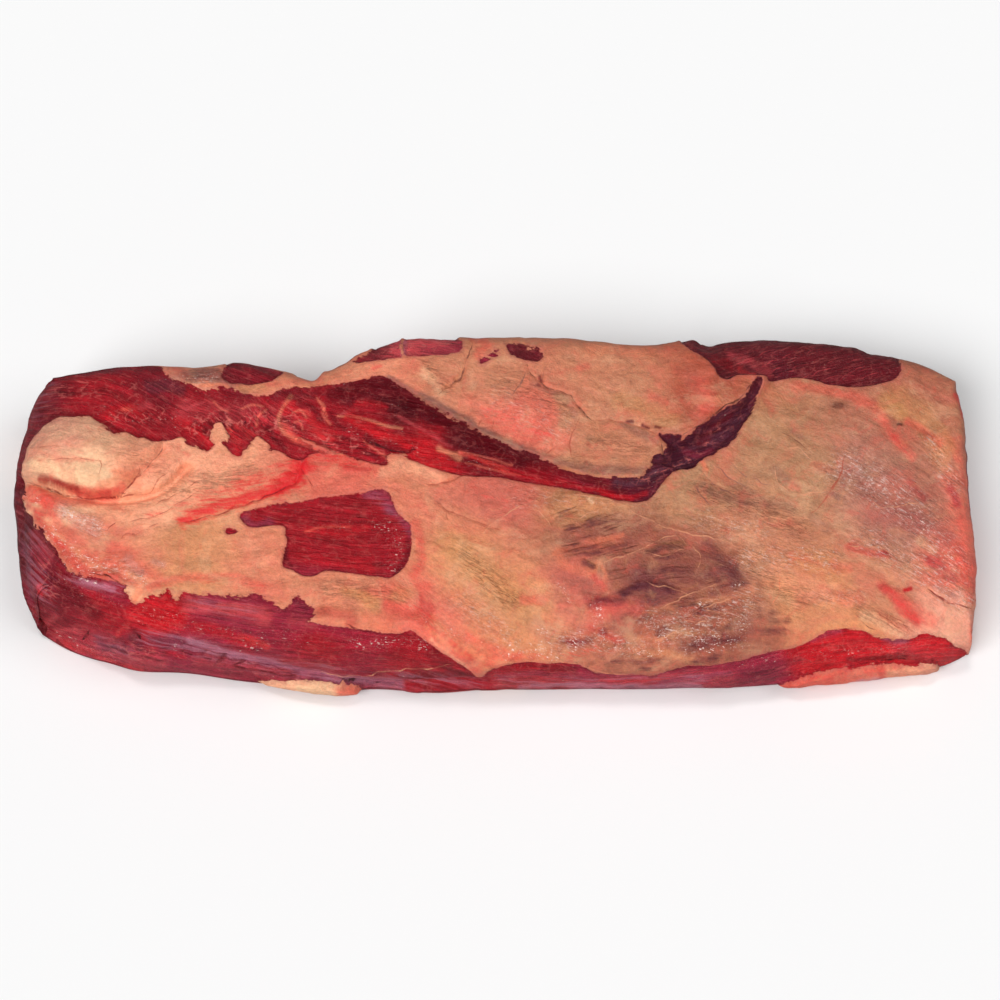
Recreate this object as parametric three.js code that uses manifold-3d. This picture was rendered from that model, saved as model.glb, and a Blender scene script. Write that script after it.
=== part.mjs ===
// A raw beef brisket, whole and untrimmed, lying fat side up on a flat surface.
//
// Millimetres, +Z up. The long side runs along X with the thick end at -X, the near edge is at -Y, and the
// origin is at the middle of the patch that the meat rests on.
//
// The slab is a box whose points are moved onto a rounded form: four edge curves give its outline, and
// heights and rounding radii give its section. Its relief (the overlapping upper layer, the fold of fat,
// the muscle laid bare, the seam and ledges along the near side) is then raised or sunk along the surface's
// normals. The relief's outlines are traced on a reference view: a picture plane of 1000 by 1000 units,
// seen from 60 degrees above the near edge.

import * as THREE from "three";
import { mergeVertices } from "three/addons/utils/BufferGeometryUtils.js";
import Module from "manifold-3d";

// Edge curves of the slab in plan, from corner to corner. Neighbouring curves share their corner point.
const NEAR_LEFT = [-264, -68];
const NEAR_RIGHT = [270, -83];
const FAR_RIGHT = [275, 85];
const FAR_LEFT = [-267, 80];
const NEAR_EDGE = [
  NEAR_LEFT, [-245, -78], [-222, -87], [-200, -96], [-166, -97], [-109, -103], [-82, -106],
  [-64, -105], [-19, -108], [38, -106], [83, -105], [151, -107], [192, -103], [228, -97],
  [256, -89], NEAR_RIGHT,
];
const RIGHT_EDGE = [NEAR_RIGHT, [273, -59], [275, -33], [277, 3], [280, 48], FAR_RIGHT];
const FAR_EDGE = [
  FAR_LEFT, [-237, 85], [-208, 88], [-173, 89], [-149, 94], [-136, 92], [-120, 87], [-96, 83],
  [-68, 95], [-43, 100], [-2, 103], [40, 104], [87, 104], [146, 109], [199, 110], [229, 104],
  [256, 95], FAR_RIGHT,
];
const LEFT_EDGE = [NEAR_LEFT, [-273, -50], [-277, -24], [-280, 12], [-277, 44], [-275, 65], FAR_LEFT];
const HALF_LENGTH = 277;
const HALF_WIDTH = 109;

// Section: the height of the top along the length, the belly line, and how far each edge rounds inwards.
const TOP_HEIGHTS = [[-280, 60], [-200, 66], [-110, 65], [0, 62], [110, 59], [200, 55], [280, 50]];
const CROWN = 4;
const WIDEST_SHARE = 0.42;
const SECTION_POWER = 2.3;
const TOP_ROUNDING = { left: 30, right: 12, near: 30, far: 24 };
const BOTTOM_ROUNDING = { left: 16, right: 9, near: 12, far: 14 };
const SAG = 3;
const EDGE_LIFT = 5;

// Reference view: where it is seen from, and the real size of one of its units at the middle of the meat.
const VIEW_ELEVATION = THREE.MathUtils.degToRad(60);
const VIEW_DISTANCE = 1650;
const VIEW_TARGET = new THREE.Vector3(4, 4.5, 32);
const VIEW_UNIT = 0.58;
const VIEW_MIDDLE = 500;

// Outlines and lines of the relief on the reference view.
const UPPER_LAYER = [
  [330, 383], [360, 379], [385, 377], [402, 384], [425, 396], [450, 413], [475, 428], [500, 442],
  [530, 456], [570, 469], [600, 476], [638, 476], [655, 461], [668, 446], [660, 435], [690, 433],
  [712, 415], [740, 400], [757, 378], [722, 376], [705, 357], [690, 340], [690, 300], [345, 300],
];
const BARE_BAND = [
  [60, 400], [150, 392], [225, 386], [262, 393], [330, 383], [385, 377], [425, 396], [475, 428],
  [530, 456], [600, 476], [655, 466], [668, 470], [650, 496], [600, 489], [560, 480], [500, 474],
  [460, 470], [420, 458], [370, 456], [330, 460], [280, 452], [240, 446], [200, 450], [150, 436],
  [108, 427], [100, 418], [60, 418], [30, 432], [28, 400],
];
const DARK_GAP = [
  [655, 461], [668, 446], [660, 435], [690, 433], [712, 415], [740, 400], [757, 378], [765, 384],
  [755, 405], [735, 435], [712, 454], [697, 466], [680, 468],
];
const FAT_FOLD = [
  [22, 441], [38, 429], [60, 419], [100, 418], [112, 430], [140, 447], [170, 460], [182, 472],
  [165, 487], [138, 497], [105, 499], [70, 493], [42, 484], [20, 478],
];
const FOLD_CREASE = [[12, 480], [42, 486], [70, 495], [105, 501], [140, 499], [168, 488], [186, 470]];
const WINDOW = [
  [243, 517], [262, 509], [300, 501], [355, 491], [382, 490], [392, 503], [410, 523], [408, 560],
  [393, 578], [340, 571], [320, 577], [298, 575], [285, 565], [287, 530], [272, 526], [250, 527],
];
const BACK_MUSCLE = [
  [692, 330], [705, 357], [722, 377], [750, 376], [790, 379], [840, 385], [880, 386], [903, 378],
  [905, 362], [880, 345], [820, 330],
];
const NEAR_MUSCLE = [
  [160, 622], [220, 612], [300, 606], [390, 610], [440, 618], [470, 640], [480, 662], [440, 672],
  [380, 668], [300, 654], [220, 636],
];
const NEAR_SEAM = [[120, 645], [200, 652], [270, 666], [340, 679], [400, 684], [450, 684], [490, 681]];
const NEAR_BAND = [
  [560, 668], [640, 675], [700, 676], [745, 669], [790, 655], [830, 640], [860, 632], [885, 643],
  [905, 647], [930, 638], [950, 645], [972, 657], [950, 670], [900, 668], [850, 670], [790, 678],
  [740, 688], [640, 700], [560, 700],
];
const NEAR_LEDGE = [[745, 692], [790, 676], [850, 668], [900, 663], [928, 664], [940, 690], [840, 705]];
const UNDER_LEDGE = [[225, 682], [300, 680], [360, 684], [385, 692], [385, 710], [225, 700]];
const LEFT_DIP = [
  [10, 500], [40, 505], [62, 560], [100, 590], [150, 600], [160, 625], [110, 640], [40, 640], [5, 600],
];
const LAYER_CRACK = [[478, 352], [466, 368], [460, 385], [446, 394], [438, 402]];

// How far each piece of relief stands up or is sunk, and over what distance it does so.
const UPPER_LAYER_RISE = 8;
const UPPER_LAYER_SLOPE = 11;
const BAND_DEPTH = 2;
const GAP_DEPTH = 2.5;
const FOLD_RISE = 9;
const FOLD_SLOPE = 22;
const CREASE_DEPTH = 6;
const CREASE_WIDTH = 4.5;
const WINDOW_DEPTH = 2.5;
const BACK_MUSCLE_DEPTH = 2;
const NEAR_MUSCLE_RISE = 3.5;
const SEAM_DEPTH = 4;
const SEAM_WIDTH = 4;
const NEAR_BAND_DEPTH = 3;
const LEDGE_RISE = 4;
const DIP_DEPTH = 5;
const CRACK_DEPTH = 3;
const CRACK_WIDTH = 3;
const UNEVENNESS = 1.1;

// Segments of the box along X, Y and Z.
const SEGMENTS = { length: 86, width: 34, height: 10 };

const { clamp, lerp, smoothstep } = THREE.MathUtils;

function edgeCurve(points) {
  return new THREE.CatmullRomCurve3(points.map(([x, y]) => new THREE.Vector3(x, y, 0)), false, "catmullrom");
}

const nearCurve = edgeCurve(NEAR_EDGE);
const farCurve = edgeCurve(FAR_EDGE);
const leftCurve = edgeCurve(LEFT_EDGE);
const rightCurve = edgeCurve(RIGHT_EDGE);

// A point in plan from two shares, 0 to 1, along the length and across the width (a Coons patch).
function planPoint(along, across) {
  const point = new THREE.Vector3();
  point.addScaledVector(nearCurve.getPointAt(along), 1 - across);
  point.addScaledVector(farCurve.getPointAt(along), across);
  point.addScaledVector(leftCurve.getPointAt(across), 1 - along);
  point.addScaledVector(rightCurve.getPointAt(across), along);
  const corners = [
    [NEAR_LEFT, (1 - along) * (1 - across)],
    [NEAR_RIGHT, along * (1 - across)],
    [FAR_LEFT, (1 - along) * across],
    [FAR_RIGHT, along * across],
  ];
  for (const [[x, y], weight] of corners) point.sub(new THREE.Vector3(x * weight, y * weight, 0));
  return point;
}

// A value read from a list of [place, value] pairs, with a smooth passage from one to the next.
function valueAt(list, place) {
  const next = clamp(list.findIndex(([start]) => start > place), 1, list.length - 1) || 1;
  const [[from, low], [to, high]] = place > list.at(-1)[0] ? list.slice(-2) : [list[next - 1], list[next]];
  return lerp(low, high, smoothstep(place, from, to));
}

function topHeight({ x, y }) {
  return valueAt(TOP_HEIGHTS, x) - CROWN * (y / HALF_WIDTH) ** 2;
}

// The underside sags below the table, which cuts it off flat, and lifts a little towards the ends.
function bottomHeight({ x, y }) {
  const ends = smoothstep(Math.abs(x) / HALF_LENGTH, 0.8, 1);
  const sides = smoothstep(Math.abs(y) / HALF_WIDTH, 0.75, 1);
  return -SAG + EDGE_LIFT * Math.max(ends, sides);
}

// The rounded slab, before relief, from a point on the surface of a box that spans -1 to 1 each way.
function slabPoint(a, b, c) {
  const angle = (c * Math.PI) / 2;
  const rounding = c > 0 ? TOP_ROUNDING : BOTTOM_ROUNDING;
  const inset = 1 - Math.cos(angle) ** (2 / SECTION_POWER);
  const along = lerp(
    (rounding.left * inset) / (2 * HALF_LENGTH),
    1 - (rounding.right * inset) / (2 * HALF_LENGTH),
    (a + 1) / 2,
  );
  const across = lerp(
    (rounding.near * inset) / (2 * HALF_WIDTH),
    1 - (rounding.far * inset) / (2 * HALF_WIDTH),
    (b + 1) / 2,
  );
  const point = planPoint(clamp(along, 0, 1), clamp(across, 0, 1));
  const [top, bottom] = [topHeight(point), bottomHeight(point)];
  const widest = lerp(bottom, top, WIDEST_SHARE);
  point.z = lerp(widest, c > 0 ? top : bottom, Math.abs(Math.sin(angle)) ** (2 / SECTION_POWER));
  return point;
}

const viewUp = new THREE.Vector3(0, Math.sin(VIEW_ELEVATION), Math.cos(VIEW_ELEVATION));
const viewForward = new THREE.Vector3(0, Math.cos(VIEW_ELEVATION), -Math.sin(VIEW_ELEVATION));

// Where a point of the meat lies on the reference view.
function onView(point) {
  const offset = point.clone().sub(VIEW_TARGET);
  const scale = VIEW_DISTANCE / (VIEW_DISTANCE + offset.dot(viewForward)) / VIEW_UNIT;
  return [VIEW_MIDDLE + offset.x * scale, VIEW_MIDDLE - offset.dot(viewUp) * scale];
}

function distanceToSegment([px, py], [ax, ay], [bx, by]) {
  const [dx, dy] = [bx - ax, by - ay];
  const share = clamp(((px - ax) * dx + (py - ay) * dy) / (dx * dx + dy * dy), 0, 1);
  return Math.hypot(px - ax - share * dx, py - ay - share * dy);
}

// Millimetres from a place on the view to a line.
function distanceToLine(place, line) {
  const steps = line.slice(1).map((end, i) => distanceToSegment(place, line[i], end));
  return VIEW_UNIT * Math.min(...steps);
}

// Millimetres from a place on the view to an outline, positive inside it.
function depthInside(place, outline) {
  const [px, py] = place;
  let inside = false;
  outline.forEach(([ax, ay], i) => {
    const [bx, by] = outline[(i + 1) % outline.length];
    if (ay > py !== by > py && px < ax + ((py - ay) / (by - ay)) * (bx - ax)) inside = !inside;
  });
  const distance = distanceToLine(place, [...outline, outline[0]]);
  return inside ? distance : -distance;
}

function plateau(place, outline, from, to) {
  return smoothstep(depthInside(place, outline), from, to);
}

function groove(place, line, width) {
  return Math.exp(-((distanceToLine(place, line) / width) ** 2));
}

// Relief of the side that the reference view shows.
function seenRelief(place) {
  return (
    UPPER_LAYER_RISE * plateau(place, UPPER_LAYER, -UPPER_LAYER_SLOPE, 1) +
    FOLD_RISE * plateau(place, FAT_FOLD, -1, FOLD_SLOPE) ** 0.6 +
    NEAR_MUSCLE_RISE * plateau(place, NEAR_MUSCLE, -2, 9) +
    LEDGE_RISE * plateau(place, NEAR_LEDGE, -1, 3) +
    LEDGE_RISE * plateau(place, UNDER_LEDGE, -1, 3) -
    BAND_DEPTH * plateau(place, BARE_BAND, -1, 4) -
    GAP_DEPTH * plateau(place, DARK_GAP, -1, 2) -
    WINDOW_DEPTH * plateau(place, WINDOW, -1, 1.5) -
    BACK_MUSCLE_DEPTH * plateau(place, BACK_MUSCLE, -1, 2) -
    NEAR_BAND_DEPTH * plateau(place, NEAR_BAND, -1, 3) -
    DIP_DEPTH * plateau(place, LEFT_DIP, -9, 9) -
    CREASE_DEPTH * groove(place, FOLD_CREASE, CREASE_WIDTH) -
    SEAM_DEPTH * groove(place, NEAR_SEAM, SEAM_WIDTH) -
    CRACK_DEPTH * groove(place, LAYER_CRACK, CRACK_WIDTH)
  );
}

// Broad unevenness of soft meat, all round.
function unevenness({ x, y, z }) {
  return (
    UNEVENNESS *
    (Math.sin(x / 31 + y / 47 + 0.6) +
      Math.sin(x / 17 - y / 26 + z / 14) * 0.6 +
      Math.sin(x / 53 - z / 19 + 2.1) * Math.sin(y / 21 + 0.4) +
      Math.sin(x / 9.5 + z / 8 + 1.3) * Math.sin(y / 15 - z / 11) * 0.4)
  );
}

function brisketGeometry() {
  const box = new THREE.BoxGeometry(2, 2, 2, SEGMENTS.length, SEGMENTS.width, SEGMENTS.height);
  box.deleteAttribute("normal");
  box.deleteAttribute("uv");
  const geometry = mergeVertices(box);
  const positions = geometry.getAttribute("position");
  const points = [];
  for (let i = 0; i < positions.count; i++) {
    const point = slabPoint(positions.getX(i), positions.getY(i), positions.getZ(i));
    points.push(point);
    positions.setXYZ(i, point.x, point.y, point.z);
  }
  geometry.computeVertexNormals();
  const normal = new THREE.Vector3();
  points.forEach((point, i) => {
    normal.fromBufferAttribute(geometry.getAttribute("normal"), i);
    const seen = smoothstep(-normal.dot(viewForward), 0, 0.2);
    point.addScaledVector(normal, seen * seenRelief(onView(point)) + unevenness(point));
    positions.setXYZ(i, point.x, point.y, point.z);
  });
  geometry.deleteAttribute("normal");
  return geometry;
}

function toManifold(wasm, geometry) {
  const merged = mergeVertices(geometry);
  return new wasm.Manifold(
    new wasm.Mesh({
      numProp: 3,
      vertProperties: new Float32Array(merged.getAttribute("position").array),
      triVerts: new Uint32Array(merged.index.array),
    }),
  );
}

function toGeometry(manifold) {
  const mesh = manifold.getMesh();
  const geometry = new THREE.BufferGeometry();
  geometry.setAttribute("position", new THREE.BufferAttribute(mesh.vertProperties, 3));
  geometry.setIndex(new THREE.BufferAttribute(mesh.triVerts, 1));
  return geometry;
}

// The meat lies flat where it touches the table: what sags below Z = 0 is cut away.
async function restOnTable(geometry) {
  const wasm = await Module();
  wasm.setup();
  const table = new THREE.BoxGeometry(4 * HALF_LENGTH, 4 * HALF_WIDTH, 100).translate(0, 0, -50);
  table.deleteAttribute("normal");
  table.deleteAttribute("uv");
  return toGeometry(toManifold(wasm, geometry).subtract(toManifold(wasm, table)));
}

// Moves the origin to the middle of the meat in plan.
function centreInPlan(geometry) {
  geometry.computeBoundingBox();
  const middle = geometry.boundingBox.getCenter(new THREE.Vector3());
  return geometry.translate(-middle.x, -middle.y, 0);
}

const meat = new THREE.MeshStandardMaterial({ color: 0xc8806a, roughness: 0.42, metalness: 0 });

const brisket = new THREE.Mesh(centreInPlan(await restOnTable(brisketGeometry())), meat);
brisket.name = "brisket";

const group = new THREE.Group();
group.add(brisket);

export default group;
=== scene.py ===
"""Looks of the raw beef brisket: one dense mesh over the CAD solid, with a procedural meat material.

The mesh is worked out as the solid is: a box whose points are moved onto a rounded slab, then raised or sunk
by relief. Outlines and lines are traced on the reference view, a picture plane of 1000 by 1000 units seen
from 60 degrees above the near edge. Lengths are millimetres until the mesh is made. Colours are sRGB, 0-255.
"""

import itertools
import math

import bpy
import numpy as np
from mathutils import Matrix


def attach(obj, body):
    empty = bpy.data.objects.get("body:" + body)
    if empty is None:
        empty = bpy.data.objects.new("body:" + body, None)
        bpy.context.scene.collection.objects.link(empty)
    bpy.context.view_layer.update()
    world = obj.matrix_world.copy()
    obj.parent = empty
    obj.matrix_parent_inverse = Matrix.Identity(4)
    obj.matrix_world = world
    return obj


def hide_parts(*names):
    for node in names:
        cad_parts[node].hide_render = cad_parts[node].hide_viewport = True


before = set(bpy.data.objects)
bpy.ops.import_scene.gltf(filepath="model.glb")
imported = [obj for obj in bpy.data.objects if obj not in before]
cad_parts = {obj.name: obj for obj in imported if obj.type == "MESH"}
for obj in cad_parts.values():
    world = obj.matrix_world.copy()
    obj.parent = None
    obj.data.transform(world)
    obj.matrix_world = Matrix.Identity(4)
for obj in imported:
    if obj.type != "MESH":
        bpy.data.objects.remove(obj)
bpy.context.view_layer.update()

# Colours, as sRGB.
CREAM = (246, 194, 152)
PEACH = (248, 166, 130)
BISQUE = (232, 156, 130)
APRICOT = (224, 134, 102)
ORANGE = (238, 126, 90)
SALMON = (226, 110, 90)
CORAL = (228, 88, 74)
CORAL_RED = (202, 48, 50)
ROSY_FAT = (206, 106, 88)
TAN = (204, 130, 98)
SAND = (218, 142, 98)
KHAKI = (184, 130, 95)
OLIVE_FAT = (184, 122, 82)
OLIVE_YELLOW = (206, 146, 90)
GREY_FAT = (184, 118, 98)
GREY_PINK = (206, 146, 132)
GREY_BROWN = (142, 92, 80)
BROWN_FAT = (178, 104, 80)
BROWN_PINK = (160, 88, 76)
VEIL_BROWN = (158, 88, 70)
VEIL_DARK = (122, 58, 58)
# Painted shade: deep red under the lip of the fold, above its crease.
FOLD_SHADE_RED = (150, 26, 30)
MAUVE_FAT = (182, 96, 88)
LILAC_GREY = (180, 122, 112)
BLOOD = (226, 30, 40)
BERRY = (178, 44, 54)
RUST = (178, 84, 62)
PLUM = (96, 36, 48)
UMBER = (120, 66, 50)
# Near-black painted shade, for the insides of cracks and hollows.
CREVICE_SHADE = (52, 12, 14)
SEAM_RED = (140, 20, 20)
SEAM_BROWN = (124, 66, 52)
FILM = (224, 152, 116)
CRIMSON = (160, 20, 32)
SCARLET = (196, 22, 32)
RUBY = (130, 18, 32)
OXBLOOD = (84, 6, 18)
AUBERGINE = (78, 26, 42)
MAROON = (104, 20, 30)
ROSE = (200, 70, 76)
MAUVE = (152, 36, 58)
LILAC = (142, 62, 86)
SILVER_SKIN = (206, 140, 160)
PALE_FIBRE = (232, 120, 112)
# Painted highlight colour, mixed into the meat for glint spots and streaks.
PAINTED_GLINT = (255, 226, 216)

# Edge curves of the slab in plan, from corner to corner. They are drawn 2 to 3 mm wider than the solid's
# in places, because the bare muscle and the hidden sides are sunk below them.
NEAR_LEFT = (-264, -69)
NEAR_RIGHT = (270, -86)
FAR_RIGHT = (275, 84)
FAR_LEFT = (-267, 80)
NEAR_EDGE = [
    NEAR_LEFT, (-245, -80), (-222, -90), (-200, -99), (-166, -100), (-109, -107), (-82, -109),
    (-64, -108), (-19, -111), (38, -109), (83, -108), (120, -110), (151, -108), (192, -105), (228, -99),
    (256, -92), NEAR_RIGHT,
]
RIGHT_EDGE = [NEAR_RIGHT, (273, -59), (275, -33), (277, 3), (280, 48), FAR_RIGHT]
FAR_EDGE = [
    FAR_LEFT, (-237, 84), (-208, 87), (-173, 87), (-149, 93), (-136, 91), (-120, 85), (-96, 76),
    (-82, 82), (-68, 92), (-43, 101), (-20, 100), (0, 99), (40, 103), (87, 101), (116, 104), (146, 111),
    (199, 112), (229, 104), (256, 94), FAR_RIGHT,
]
LEFT_EDGE = [NEAR_LEFT, (-273, -50), (-277, -24), (-280, 12), (-276, 44), (-274, 65), FAR_LEFT]
HALF_LENGTH = 277
HALF_WIDTH = 109

# Section of the slab.
TOP_HEIGHTS = [(-280, 60), (-200, 66), (-110, 65), (0, 62), (110, 59), (200, 55), (280, 50)]
CROWN = 4
WIDEST_SHARE = 0.42
SECTION_POWER = 2.3
TOP_ROUNDING = {"left": 30, "right": 12, "near": 30, "far": 24}
BOTTOM_ROUNDING = {"left": 16, "right": 9, "near": 12, "far": 14}
SAG = 3
EDGE_LIFT = 5

# Segments of the mesh along X, Y and Z.
SEGMENTS = (620, 245, 40)
MILLIMETRES = 1000

# Reference view.
VIEW_ELEVATION = math.radians(60)
VIEW_DISTANCE = 1650
VIEW_TARGET = np.array([4, 4.5, 32])
VIEW_UNIT = 0.58
VIEW_MIDDLE = 500
OUTLINE_REACH = 40.0
VIEW_UP = np.array([0, math.sin(VIEW_ELEVATION), math.cos(VIEW_ELEVATION)])
VIEW_FORWARD = np.array([0, math.cos(VIEW_ELEVATION), -math.sin(VIEW_ELEVATION)])

# Heights and depths of the relief, in millimetres.
LAYER_HEIGHT = 8
FOLD_HEIGHT = 11
NEAR_MUSCLE_HEIGHT = 3.5
LEDGE_HEIGHT = 2.5
DIP_DEPTH = 5
GAP_DEPTH = 3
LEAN_DEPTH = 1.5
HIDDEN_LEAN_DEPTH = 1.2
LEAN_LIMIT = 12

# Outlines on the reference view. A text of points has a comma between x and y and a space between points.
# First the outlines of the large relief.
UPPER_LAYER = """
    330,383 360,379 385,377 402,384 425,396 450,413 475,428 500,442 530,456 570,469 600,476 638,476 655,461
    668,446 660,435 690,433 712,415 740,400 757,378 722,376 705,357 690,340 690,300 345,300
"""
FAT_FOLD = """
    16,444 30,430 48,418 75,412 100,419 122,430 146,436 162,441 154,458 142,468 138,477 126,489 108,497
    84,496 62,491 44,484 18,480
"""
FOLD_CREASE = "12,480 42,486 70,495 105,501 140,499 168,488 186,470"
NEAR_MUSCLE = "160,622 220,612 300,606 390,610 440,618 470,640 480,662 440,672 380,668 300,654 220,636"
NEAR_SEAM = "120,645 200,652 270,666 340,679 400,684 450,684 490,681"
LEFT_DIP = "10,500 40,505 62,560 100,590 150,600 160,625 110,640 40,640 5,600"

# Lean laid bare, on the reference view.
BARE_BAND = """
    18,400 40,362 100,352 158,355 163,372 182,382 202,391 228,388 245,394 270,395 286,388 326,385 366,378
    383,376 402,387 432,405 465,424 500,442 538,456 566,471 600,477 639,477 654,461 679,466 668,476 656,491
    646,500 624,501 580,491 535,483 500,477 472,476 446,472 419,463 399,454 390,456 386,465 359,459 345,453
    318,453 306,458 294,458 283,453 271,449 268,441 257,436 250,446 243,450 240,455 232,454 227,446 229,439
    225,431 221,423 215,426 211,438 212,446 207,452 199,448 187,444 181,439 156,439 138,435 126,431 116,432
    106,426 93,418 75,415 60,416 48,421 38,428 27,440 24,452 21,464 21,476 25,486 25,500 26,512 -10,520
    -10,430
"""
RED_BUMP = "222,372 235,355 262,350 286,364 277,377 262,383 240,384 226,380"
BACK_STRIP = "352,361 370,351 385,330 440,328 460,340 463,346 455,352 430,355 400,357 370,361"
BACK_SPOTS = "506,344 520,343 532,346 542,351 539,360 527,360 513,356 508,350"
SIDE_SPOT = "499,348 490,352 481,359 481,363 489,360 498,355"
DARK_GAP = """
    651,462 667,447 659,434 679,434 682,441 690,433 712,415 740,400 752,384 758,375 763,380 757,396 752,412
    735,436 725,446 712,454 699,461 694,467 682,468
"""
BACK_MUSCLE = """
    689,348 702,355 714,366 719,375 729,379 740,374 765,375 771,381 798,377 840,386 866,386 886,382 898,376
    901,366 896,352 870,330 700,325 680,338
"""
WINDOW = """
    240,514 242,521 250,527 262,526 273,525 284,526 285,534 287,541 284,551 283,565 293,570 303,575 315,575
    323,571 333,571 356,574 378,576 389,578 396,575 401,570 407,562 411,547 411,529 408,522 399,514 394,504
    389,494 384,489 373,490 356,493 333,496 311,499 295,502 280,503 265,506 250,510
"""
SMALL_SPOT = "225,530 229,528 238,530 236,533 230,535 226,534"
NEAR_LEAN = """
    -10,500 22,508 27,513 33,521 41,531 50,542 57,553 64,563 72,572 90,578 110,580 126,585 124,590 129,596
    133,604 142,601 152,596 160,595 167,589 176,600 184,594 216,595 240,597 255,594 273,603 283,610 289,604
    298,596 306,603 316,609 313,618 307,621 330,626 356,629 383,633 399,634 411,631 421,638 436,649 447,656
    461,666 477,676 490,671 502,667 525,662 546,664 573,664 588,670 600,674 639,676 653,677 667,672 689,667
    712,666 740,661 765,654 790,649 806,644 816,637 833,632 846,630 860,631 870,636 882,639 898,641 908,640
    917,636 928,635 944,639 956,647 968,656 990,720 -10,720
"""
BOTTOM_LEDGES = [
    "736,699 765,690 795,681 823,673 856,668 889,666 912,667 936,665 945,700 740,715",
    "215,692 240,685 271,682 319,683 351,687 372,695 380,712 215,712",
]
LEAN_REGIONS = [
    BARE_BAND, RED_BUMP, BACK_STRIP, BACK_SPOTS, SIDE_SPOT, DARK_GAP, BACK_MUSCLE, WINDOW, SMALL_SPOT,
    NEAR_LEAN,
]

# Strips of fat that run through the lean: points and half width in view units.
FAT_STRIPS = [
    ("404,332 401,344 404,356", 1.8), ("390,450 394,458 396,464", 2.2), ("404,453 407,464", 1.3),
    ("299,438 312,444 328,451 348,462", 2.2),
]
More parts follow.
